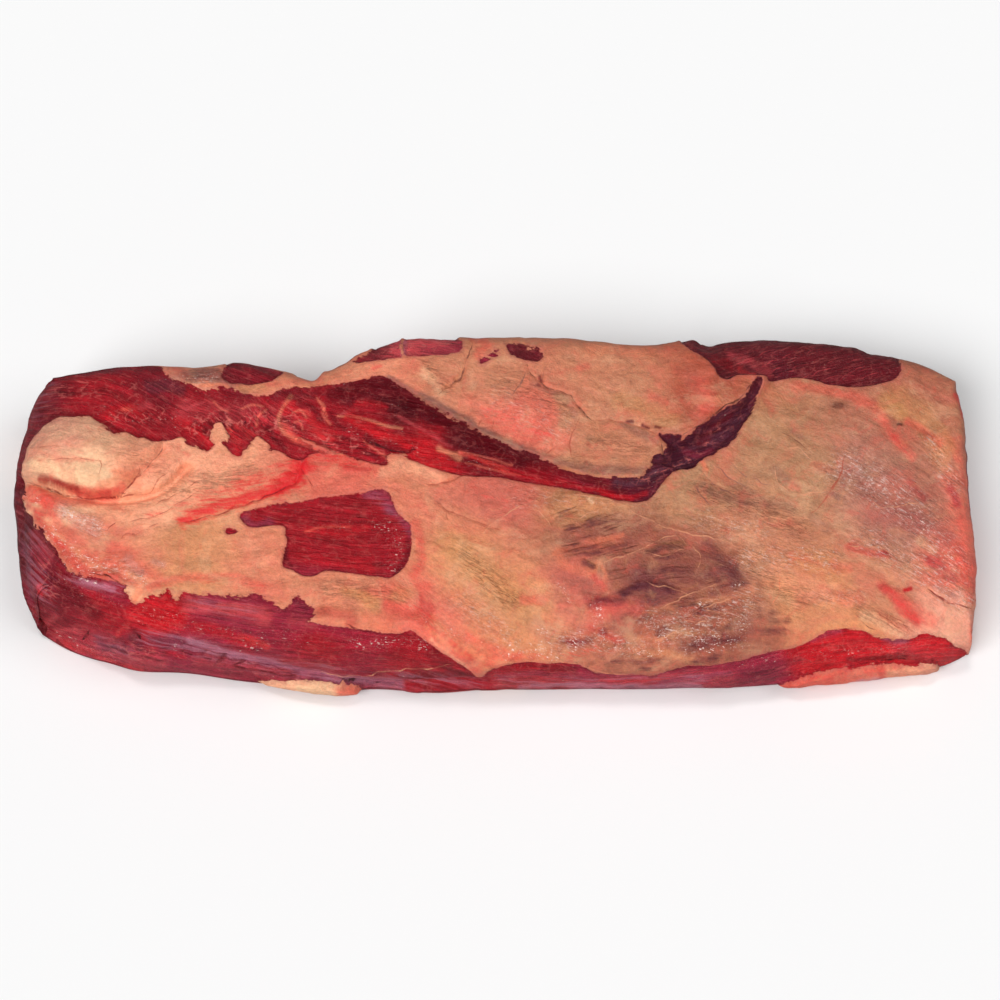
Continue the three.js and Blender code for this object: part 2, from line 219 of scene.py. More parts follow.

# Lines in the surface: colour, half width and height (millimetres, negative where sunk), and points. The
# near-black crevice lines are painted shade inside cracks and hollows, and the first line, along the fold
# across the upper layer, is dark brown painted shade along that fold.
LINES = [
    (SEAM_BROWN, 0.5, -2.2, "472,343 470,352 465,362 463,371 454,381 446,386 437,395"),
    (UMBER, 0.8, -1.5, "464,366 461,374 456,380"),
    (UMBER, 0.3, -1.2, "528,360 530,371 541,382 553,389 570,394 579,406 592,421"),
    (UMBER, 0.3, -1.0, "541,382 544,373 549,362"), (GREY_BROWN, 0.3, -0.6, "526,374 520,384 512,393"),
    (CREVICE_SHADE, 0.3, -0.6, "576,404 583,412 591,420"),
    (RUST, 0.2, -0.6, "592,421 606,418 622,421 640,427 656,434"),
    (CREVICE_SHADE, 0.5, -1.6, "662,443 664,455 670,462 686,467"),
    (CREVICE_SHADE, 0.45, -1.0, "683,436 700,424 716,412 738,398 752,384"),
    (RUST, 0.4, -1.4, "427,483 439,484 452,479 464,473"),
    (UMBER, 0.35, -1.2, "161,438 162,446 159,453 153,459 146,468 139,476"),
    (
        SEAM_RED, 0.6, -1.6,
        "27,483 38,485 50,488 66,494 80,496 93,497 108,496 118,494 126,489 133,481 138,474 138,468",
    ),
    (RUST, 0.35, -0.6, "133,479 142,476"),
    (RUST, 0.35, -0.9, "116,497 132,494 147,493 154,486 159,478 166,473"),
    (RUST, 0.25, -0.6, "151,507 165,499 178,493 192,485 208,477"),
    (RUST, 0.22, -0.5, "124,524 140,520 156,515 172,507 187,498 201,488"),
    (RUST, 0.22, -0.4, "132,536 146,529 160,524"), (RUST, 0.2, -0.4, "36,463 55,459 80,457 100,460"),
    (RUST, 0.2, -0.3, "38,448 50,446 63,448"), (RUST, 0.2, -0.3, "98,458 101,466 99,474"),
    (
        SEAM_RED, 0.4, -1.2,
        "182,523 196,519 216,514 233,508 249,503 263,497 283,489 297,478 301,463 304,456",
    ),
    (SEAM_RED, 0.3, -0.6, "301,468 308,477 312,486"), (SEAM_RED, 0.25, -0.5, "299,474 288,470 279,472"),
    (SEAM_RED, 0.35, -0.7, "108,530 116,524"), (SEAM_RED, 0.35, -0.7, "121,538 127,534 134,533"),
    (RUST, 0.25, -0.5, "579,417 573,431 570,443 573,458"), (RUST, 0.3, -0.6, "545,455 559,443"),
    (RUST, 0.4, -0.6, "493,430 494,418"), (RUST, 0.4, -0.6, "478,428 481,418"),
    (SEAM_BROWN, 0.3, -0.5, "464,483 464,497"), (RUST, 0.3, -0.7, "438,502 449,511 472,519 496,529"),
    (RUST, 0.25, -0.4, "446,512 448,520"), (RUST, 0.25, -0.5, "480,525 500,531"),
    (SEAM_RED, 0.45, -1.6, "927,589 939,596 953,603 974,608"),
    (FILM, 0.25, 0.42, "773,466 778,483 789,491 800,495 811,493 824,492"),
    (RUST, 0.6, 0.3, "844,456 841,471 835,484 823,502 811,513"),
    (FILM, 0.2, 0.24, "730,505 746,512 762,517 790,518 812,520 850,519"),
    (FILM, 0.22, 0.3, "871,498 878,505 889,508 906,504 931,506"),
    (FILM, 0.2, 0.18, "784,448 800,450 815,462"), (FILM, 0.22, 0.24, "848,544 866,547 886,545"),
    (ORANGE, 0.3, 0.5, "781,576 779,592 773,604"),
    (FILM, 0.3, 0.36, "533,502 550,497 586,495 623,506 637,515 662,525 687,534 712,538 740,547"),
    (FILM, 0.22, 0.3, "596,565 618,558 639,550 659,540 676,535 687,545"),
    (FILM, 0.2, 0.3, "534,509 545,518 552,527"), (FILM, 0.2, 0.24, "575,520 592,512 612,508"),
    (FILM, 0.22, 0.3, "645,580 655,585 672,588 688,594"), (FILM, 0.2, 0.24, "690,545 700,556 697,570"),
    (FILM, 0.15, 0.24, "644,552 662,556 684,549"), (FILM, 0.22, 0.24, "480,536 496,522 516,508 535,500"),
    (FILM, 0.2, 0.24, "566,598 578,608 596,610"), (FILM, 0.2, 0.24, "664,606 690,594 716,584"),
    (FILM, 0.2, 0.24, "688,616 714,604 742,594"), (FILM, 0.2, 0.24, "650,644 690,626 730,614"),
    (APRICOT, 0.3, 0.6, "480,658 510,662 540,660 575,664 606,674 640,677"),
    (RUST, 0.3, -0.6, "876,611 888,619 900,629"), (RUST, 0.3, -0.6, "886,613 900,620 908,632"),
    (UMBER, 0.3, -0.6, "863,622 870,627 876,630"), (GREY_BROWN, 0.3, -0.6, "694,482 700,494 712,505"),
    (GREY_BROWN, 0.25, -0.5, "700,470 718,486 740,497"),
    (GREY_BROWN, 0.25, -0.5, "716,466 734,480 756,492"),
    (GREY_BROWN, 0.25, -0.4, "730,462 748,476 772,486"),
    (SEAM_BROWN, 0.22, -0.4, "782,431 796,442 812,452"), (RUST, 0.4, -0.5, "911,422 922,428 936,440"),
    (RUST, 0.25, -0.4, "878,428 890,440 902,452"),
    (FILM, 0.3, 0.24, "320,675 356,678 386,674 422,671 446,667"),
    (CREVICE_SHADE, 0.8, -2.0, "338,682 352,684 370,687 388,686"),
    (CREVICE_SHADE, 0.5, -1.2, "872,662 890,663 907,662"), (CREVICE_SHADE, 0.4, -1.2, "92,573 104,575 116,580 128,586"),
    (CREVICE_SHADE, 1.6, -3.0, "131,631 136,638 141,643"), (CREVICE_SHADE, 1.3, -3.0, "87,634 81,644"),
    (CREVICE_SHADE, 0.7, -1.6, "363,436 372,441 382,446 398,449 417,449"),
    (ROSE, 0.15, 0.3, "303,555 320,552 336,551"), (ROSE, 0.12, 0.3, "290,567 300,567 314,568"),
    (ROSE, 0.15, 0.3, "296,573 310,575 323,576"), (ROSE, 0.12, 0.2, "286,560 297,562"),
    (ROSE, 0.12, 0.2, "374,532 384,530 396,526"), (ROSE, 0.12, 0.2, "372,546 384,544 398,541"),
    (MAROON, 0.4, -0.8, "345,624 366,632 390,634 414,636"),
    (MAROON, 0.3, -0.8, "156,648 180,654 216,664 260,674 310,683"),
    (MAROON, 0.3, -0.7, "180,646 214,656 250,667 290,675"),
]

# Pale hairs that run aslant through the muscle at the back.
HAIR_STARTS = [
    (752, 371), (765, 364), (778, 376), (792, 368), (800, 380), (815, 373), (828, 362), (838, 379),
    (850, 371), (862, 377), (760, 354), (784, 355), (808, 352), (770, 372), (822, 380), (844, 364),
    (790, 361), (736, 364),
]
LINES += [(ROSE, 0.12, 0.3, [(x, y), (x + 7, y - 4), (x + 16, y - 6)]) for x, y in HAIR_STARTS]

# Grain of the lean and of the fat: lines that it follows, each drawn from left to right.
LEAN_GRAIN = [
    "30,410 60,392 110,385", "110,392 150,412 190,440", "150,375 200,398 250,400", "215,402 224,430",
    "250,402 262,430 290,452", "300,400 330,425 370,450", "350,392 400,410 440,435",
    "380,385 450,425 520,460", "350,415 420,445 500,465", "520,460 580,480 640,492",
    "640,480 660,465 690,445", "690,450 720,430 755,385", "355,350 400,348 460,345",
    "700,352 760,352 800,340", "760,375 820,358 870,345", "830,384 870,370 900,362",
    "245,520 330,506 390,500", "285,545 350,541 410,530", "290,570 350,566 405,552", "20,520 40,570 70,610",
    "60,585 130,610 200,640", "60,620 120,645 200,662", "180,600 250,608 310,612",
    "200,625 300,650 400,668", "300,630 400,648 470,670", "150,655 250,672 400,690",
    "480,682 600,684 740,678", "740,672 820,656 900,650", "850,642 900,652 960,655",
]
FAT_GRAIN = [
    "30,450 80,445 130,455", "40,470 90,480 130,478", "170,470 220,480 270,462", "130,530 190,515 240,500",
    "100,560 160,545 220,545", "60,515 100,560 150,585", "180,580 240,590 300,585",
    "400,500 450,520 500,560", "400,460 440,475 480,480", "420,560 470,600 540,650",
    "470,560 530,610 600,650", "350,600 400,600 440,640", "480,520 530,500 600,497",
    "600,498 680,520 760,560", "560,560 610,540 660,530", "580,600 640,580 720,575",
    "620,650 690,630 760,620", "690,480 740,510 810,540", "730,460 790,500 860,540",
    "780,410 850,450 920,520", "850,400 910,430 960,480", "860,500 910,550 970,600",
    "820,560 880,590 960,640", "760,600 840,600 920,625", "400,365 450,375 500,380",
    "500,400 540,420 570,450", "560,370 620,375 690,385", "590,410 640,430 680,420",
    "600,440 640,455 660,450", "280,385 330,375 380,368",
]

# Broad colour of the fat and of the lean: the colour around each place of the view.
FAT_ZONES = [
    # The cream zone at 80,465 is a painted highlight on the fold's lower ridge.
    (BISQUE, "65,435"), (CREAM, "80,465"), (PEACH, "190,460 130,470 160,500"), (SAND, "190,545"),
    (APRICOT, "110,560 270,575"), (SALMON, "340,468"), (VEIL_BROWN, "585,535 610,560 660,560"),
    (VEIL_DARK, "650,590"), (VEIL_BROWN, "715,575 690,615"), (BROWN_FAT, "655,645 740,610"),
    (ROSY_FAT, "575,590"), (VEIL_BROWN, "740,645"), (BROWN_FAT, "905,395 930,410"), (RUST, "700,385"),
    (APRICOT, "300,376 380,370"), (TAN, "455,370"), (SALMON, "520,416"), (TAN, "500,376 600,365 640,395"),
    (RUST, "706,398"), (TAN, "610,440"), (APRICOT, "430,500"), (ROSY_FAT, "500,495"),
    (SAND, "460,560 530,600"), (OLIVE_FAT, "580,505"), (KHAKI, "690,490 760,440 800,480"), (TAN, "760,540"),
    (SAND, "800,590"), (GREY_FAT, "870,475 900,520"), (TAN, "870,590"), (SALMON, "960,560"),
    (SAND, "850,618"), (BISQUE, "940,630"), (SALMON, "860,690"), (CREAM, "290,692"), (APRICOT, "350,600"),
    (SALMON, "420,610"),
]
LEAN_ZONES = [
    (RUBY, "40,400"), (CRIMSON, "90,395"), (RUBY, "160,380"), (CRIMSON, "130,420 200,410 280,420 370,425"),
    # The oxblood zone along the wall under the upper layer's edge is the cut muscle's dark colour together
    # with painted shade under that edge.
    (OXBLOOD, "400,395 470,435 520,460"), (SCARLET, "430,462"), (CRIMSON, "520,476"), (RUBY, "610,488"),
    (AUBERGINE, "620,478 670,450 730,410"), (RUBY, "240,370"), (ROSE, "420,345"), (MAROON, "530,352"),
    (MAUVE, "490,355"), (MAROON, "720,360 840,365"), (CRIMSON, "290,530 350,540"), (MAROON, "20,540"),
    (RUBY, "50,600"), (CRIMSON, "110,615"), (SCARLET, "160,615"), (MAUVE, "220,608 302,608 325,616"),
    (CRIMSON, "320,645 430,664"), (MAUVE, "180,660 320,684 110,655"), (CRIMSON, "540,672"),
    (MAUVE, "600,686 760,680"), (SCARLET, "820,655 930,655"),
]

# Strokes of colour over those: colour, strength, half width in view units, and points.
FAT_STROKES = [
    # The first cream stroke is a painted highlight along the fold's lower ridge; the deep red stroke below
    # it is painted shade under the fold's lip.
    (CREAM, 0.9, 8, "36,467 60,464 85,466 104,473"), (SALMON, 0.3, 5, "28,456 40,447 55,444"),
    (SALMON, 0.35, 2.5, "36,452 55,458 75,457 92,461"), (CORAL, 0.6, 4, "60,485 85,490 108,492 124,487"),
    (ORANGE, 0.4, 5, "100,486 120,481 134,474"), (CORAL, 0.8, 4.5, "70,490 90,493 108,494 122,490"),
    (FOLD_SHADE_RED, 0.9, 3.4, "40,480 52,482 64,485 76,489"), (CORAL_RED, 0.6, 3.5, "78,493 94,495 108,495"),
    (SALMON, 0.5, 4, "58,499 80,500 104,499"), (BROWN_PINK, 0.5, 10, "560,578 580,582 596,592"),
    (TAN, 0.6, 8, "560,592 572,604 586,614"), (RUST, 0.6, 4, "566,549 590,543 612,536"),
    (ORANGE, 0.75, 2.6, "588,541 604,538 622,534"), (ORANGE, 0.5, 2.0, "594,572 598,560 604,574"),
    (ORANGE, 0.4, 3, "603,578 604,590"), (ROSY_FAT, 0.5, 3.5, "572,560 596,552 620,543"),
    (TAN, 0.4, 4, "590,562 620,556 650,540"), (SAND, 0.5, 6, "545,515 575,505 610,506"),
    (VEIL_DARK, 0.7, 8, "640,575 680,570 716,574"), (VEIL_DARK, 0.6, 9, "708,550 728,566 738,584"),
    (PLUM, 0.5, 5, "616,594 642,589 672,590"), (ROSY_FAT, 0.5, 7, "596,580 612,600 600,618"),
    (BERRY, 0.45, 5, "592,606 604,602 616,606"), (OLIVE_FAT, 0.5, 4, "560,526 600,512 625,508"),
    (APRICOT, 0.5, 4, "700,602 730,596 752,590"), (SAND, 0.45, 3, "650,612 690,604 728,598"),
    (SAND, 0.5, 3, "640,640 680,634 724,628"), (SAND, 0.45, 4, "640,652 670,654 690,660"),
    (VEIL_BROWN, 0.5, 13, "572,538 620,546 664,562 706,560"),
    (VEIL_DARK, 0.35, 11, "690,644 716,636 744,624"), (BROWN_FAT, 0.55, 9, "536,624 556,640 578,650"),
    (OLIVE_FAT, 0.6, 4, "648,549 664,546 682,545"), (MAUVE_FAT, 0.5, 4, "566,573 576,575 588,576"),
    (BERRY, 0.4, 5, "588,601 597,604 606,602"), (RUST, 0.4, 7, "630,622 650,634 640,646"),
    (TAN, 0.5, 10, "500,610 524,622 548,636"), (SALMON, 0.55, 4, "52,496 75,500 100,500 116,501"),
    (ORANGE, 0.45, 4, "112,470 124,474 132,480 140,486"), (CORAL, 1.0, 10, "30,494 42,496 48,504"),
    (CORAL_RED, 0.7, 4, "28,506 40,512 52,514"),
    (CORAL_RED, 0.7, 6, "34,516 46,530 60,548 72,562 86,572 106,578 128,583"),
    (CORAL, 0.6, 7, "52,514 64,532 84,548 104,560 122,570"), (GREY_PINK, 0.5, 9, "64,512 80,519 96,527"),
    (ROSY_FAT, 0.5, 8, "72,538 92,540 108,548"), (CORAL, 0.5, 8, "112,548 128,560 148,572 160,580"),
    (SALMON, 0.5, 6, "110,530 126,534 140,530"), (GREY_PINK, 0.45, 5, "128,560 140,574"),
    (GREY_PINK, 0.5, 4, "154,562 164,565"), (OLIVE_FAT, 0.5, 6, "180,563 196,562 208,564"),
    (OLIVE_FAT, 0.3, 10, "150,540 175,534 200,536"),
    (CORAL, 0.55, 5, "150,588 172,579 200,577 236,578 262,588"), (SAND, 0.6, 4, "165,586 200,587 225,582"),
    (CREAM, 0.5, 5, "128,590 137,598"), (ORANGE, 0.7, 4, "138,591 133,602"),
    (PEACH, 0.5, 8, "170,486 200,474 235,462"), (CORAL, 0.5, 2.5, "184,453 189,454"),
    (CORAL, 0.45, 10, "318,460 345,466 372,470"), (SALMON, 0.5, 8, "320,480 350,484"),
    (CORAL_RED, 0.8, 3, "303,460 301,472 294,482 280,491 262,498"),
    (CRIMSON, 0.7, 1.8, "302,466 300,476 304,483"), (CORAL_RED, 0.6, 2.2, "338,466 352,469 370,469"),
    (CORAL, 0.8, 4, "286,434 306,441 326,450 344,460"), (CORAL_RED, 0.5, 3, "312,448 324,456 336,460"),
    (BROWN_FAT, 0.6, 14, "890,392 912,398 936,412"), (ROSY_FAT, 0.5, 8, "690,380 704,398 700,414"),
    (PEACH, 0.7, 7, "384,472 405,468 425,472 442,480"), (PEACH, 0.4, 8, "250,545 262,560"),
    (SALMON, 0.4, 5, "395,486 415,500 430,515"), (ROSY_FAT, 0.55, 14, "440,492 480,492 520,505"),
    (CORAL, 0.55, 6, "414,524 421,545 420,562 414,576"), (CORAL, 0.5, 5, "360,594 380,590 402,590 428,586"),
    (OLIVE_YELLOW, 0.55, 7, "346,592 364,597 374,604"), (OLIVE_YELLOW, 0.35, 8, "396,596 410,592"),
    (OLIVE_YELLOW, 0.35, 16, "450,545 480,570 520,615"), (CORAL_RED, 0.55, 7, "420,602 430,614"),
    (ORANGE, 0.5, 5, "366,616 380,624 392,622"), (CORAL, 0.7, 6, "388,604 412,616 436,634 455,652 474,671"),
    (SALMON, 0.8, 3, "418,628 438,644 458,659 474,672"), (ORANGE, 0.7, 2, "424,626 446,643 470,658"),
    (PEACH, 0.6, 1.5, "430,640 448,654 466,668"), (CORAL_RED, 0.6, 2, "440,630 456,646 480,662 500,668"),
    (ORANGE, 0.6, 4, "432,620 455,640 478,655 500,664"),
    (CORAL, 0.55, 6, "468,636 490,648 515,658 540,660"), (TAN, 0.5, 6, "298,586 322,588"),
    (SALMON, 0.5, 8, "268,590 284,596"), (SALMON, 0.9, 6.5, "160,371 172,371 184,374"),
    (BROWN_PINK, 0.85, 9, "170,382 196,378 222,378 240,388"),
    (GREY_BROWN, 0.75, 5, "196,374 212,376 224,384"), (ORANGE, 0.6, 2.2, "186,389 206,385 228,387"),
    (SAND, 0.6, 4, "236,388 262,386"), (SALMON, 0.6, 3, "268,384 292,382 318,378"),
    (SALMON, 0.6, 3, "290,404 284,420 292,434 310,442 336,449"),
    # The cream stroke at 424,372 to 440,390 is a painted highlight on the rounded edge of the upper layer.
    (CREAM, 0.45, 6, "424,372 432,382 440,390"), (PEACH, 0.35, 10, "350,368 390,362"),
    (CORAL, 0.7, 2.5, "374,370 381,367"), (CORAL, 0.6, 6, "474,340 484,346 480,354"),
    (SALMON, 0.5, 9, "470,402 500,412 540,424 560,440"), (SALMON, 0.5, 6, "486,412 514,416 538,436"),
    (GREY_FAT, 0.5, 4, "532,385 554,392 566,400 574,414"),
    (GREY_BROWN, 0.9, 4.5, "390,381 408,391 436,405 458,418 480,430 502,441 520,448"),
    (GREY_BROWN, 0.6, 4.5, "520,447 545,458 570,465 600,470 640,470"),
    (KHAKI, 0.5, 5, "560,398 566,412 562,424"), (ORANGE, 0.35, 7, "590,352 620,350 650,350"),
    (CORAL, 0.4, 4, "580,368 588,366"), (CORAL, 0.4, 4, "650,396 672,404"),
    (CORAL, 0.45, 7, "700,384 712,398 704,412"), (OLIVE_YELLOW, 0.35, 10, "620,400 650,412 668,420"),
    (GREY_BROWN, 0.5, 4, "622,424 640,432 658,440"), (UMBER, 0.8, 1.8, "587,462 592,464"),
    (MAROON, 0.9, 1.8, "626,421 631,422"), (MAROON, 0.9, 1.8, "641,425 648,428"),
    (MAROON, 0.8, 1.5, "655,426 660,427"), (MAROON, 0.9, 2, "540,376 542,380"),
    (MAROON, 0.8, 1.6, "537,385 540,386"), (RUST, 0.6, 2, "587,444 590,446"),
    (ORANGE, 0.7, 3, "701,458 706,468"), (CREAM, 0.7, 2, "589,499 593,502"),
    (GREY_BROWN, 0.35, 5, "700,486 720,496 744,504"), (GREY_BROWN, 0.35, 5, "736,486 760,500 790,508"),
    (CORAL, 0.5, 6, "800,386 840,393 866,403 882,415"), (CORAL, 0.55, 5, "882,415 890,430 900,443 913,458"),
    (UMBER, 0.95, 2.6, "834,405 841,405"), (UMBER, 0.35, 6, "832,406 844,404"),
    # The near-black crevice dot at 898,424 is painted shade.
    (CREVICE_SHADE, 1.0, 1.6, "898,424 901,425"), (OLIVE_YELLOW, 0.4, 8, "886,404 900,414"),
    (RUST, 0.5, 3, "765,400 772,410"), (GREY_BROWN, 0.5, 4, "792,430 800,436"),
    (CORAL_RED, 0.7, 3, "956,394 962,404 963,416"), (CORAL, 0.5, 5, "950,440 962,470 966,505"),
    (SALMON, 0.5, 8, "938,440 950,480 958,520"), (GREY_BROWN, 0.4, 5, "776,470 784,482"),
    (CORAL_RED, 0.4, 4, "792,485 798,488"), (CORAL_RED, 0.3, 6, "816,466 824,470"),
    (LILAC_GREY, 0.35, 12, "846,470 872,478 905,492"), (GREY_BROWN, 0.7, 3, "833,495 838,499"),
    (GREY_BROWN, 0.4, 5, "812,516 826,530"), (BERRY, 0.55, 5, "912,484 919,492 926,498"),
    (BERRY, 0.5, 4, "950,490 956,503"), (MAUVE_FAT, 0.55, 11, "874,516 900,520 925,530 945,540"),
    (CORAL_RED, 0.6, 5, "852,546 866,550 884,553"), (BERRY, 0.7, 2.5, "880,553 887,551"),
    (CORAL, 0.5, 5, "834,567 848,570"), (BERRY, 0.75, 5.5, "932,560 942,567 953,577"),
    (CORAL, 0.7, 6, "958,548 966,575 973,600"), (CORAL, 0.5, 5, "962,520 966,545"),
    (CORAL_RED, 0.8, 6, "882,588 893,598 904,610 916,621"), (CORAL, 0.5, 8, "900,600 918,612 928,620"),
    (SCARLET, 1.0, 2.2, "904,591 910,588"), (SALMON, 0.45, 8, "800,600 830,594 850,600"),
    (OLIVE_YELLOW, 0.35, 12, "800,560 840,580"), (CREAM, 0.4, 5, "920,540 934,550"),
    (CREAM, 0.5, 5, "864,616 882,624 900,634"), (GREY_PINK, 0.45, 6, "940,590 960,596"),
    (CORAL, 0.6, 4, "975,560 978,600 974,640"), (CORAL, 0.6, 6, "526,600 542,601"),
    (CORAL, 0.5, 7, "590,612 620,606 640,612"), (ORANGE, 0.45, 6, "556,552 566,566 590,574"),
    (CORAL_RED, 0.5, 4, "594,576 604,588"), (CORAL_RED, 0.55, 4, "590,628 606,636 622,642"),
    (ORANGE, 0.4, 4, "600,540 616,538"), (ORANGE, 0.4, 4, "604,550 620,545"),
    (ROSY_FAT, 0.5, 10, "545,570 560,580 566,600"), (BERRY, 0.7, 3, "568,642 584,643"),
    (CORAL, 0.5, 5, "490,660 520,656"), (CORAL, 0.9, 8, "750,688 790,684 850,676 900,672"),
    (CORAL_RED, 0.8, 3, "770,682 800,678 850,669"),
    (SILVER_SKIN, 0.7, 3, "838,690 856,685 872,680 886,682"), (PEACH, 0.8, 5, "890,674 915,672"),
    (CORAL, 0.8, 6, "342,690 365,693 385,692"), (PEACH, 0.5, 6, "200,684 250,688 290,690"),
    # The broad cream stroke over the fold's top (50,432 to 112,438) is painted light on a top that faces
    # away from the lamps.
    (CORAL_RED, 0.5, 6, "318,612 338,615 352,619"), (CREAM, 0.35, 12, "50,432 80,428 112,438"),
    # The salmon stroke down the right margin (958,440 to 970,540) is painted light on that curved edge.
    (SALMON, 0.4, 6, "958,440 964,480 970,540"), (PEACH, 0.4, 13, "776,572 800,586 822,592"),
    (KHAKI, 0.5, 5, "748,412 760,422"), (OLIVE_YELLOW, 0.4, 14, "900,400 930,424 944,450"),
    (BERRY, 0.5, 4, "950,488 955,496 957,506"), (CORAL, 0.5, 4, "908,422 924,430 940,444"),
]
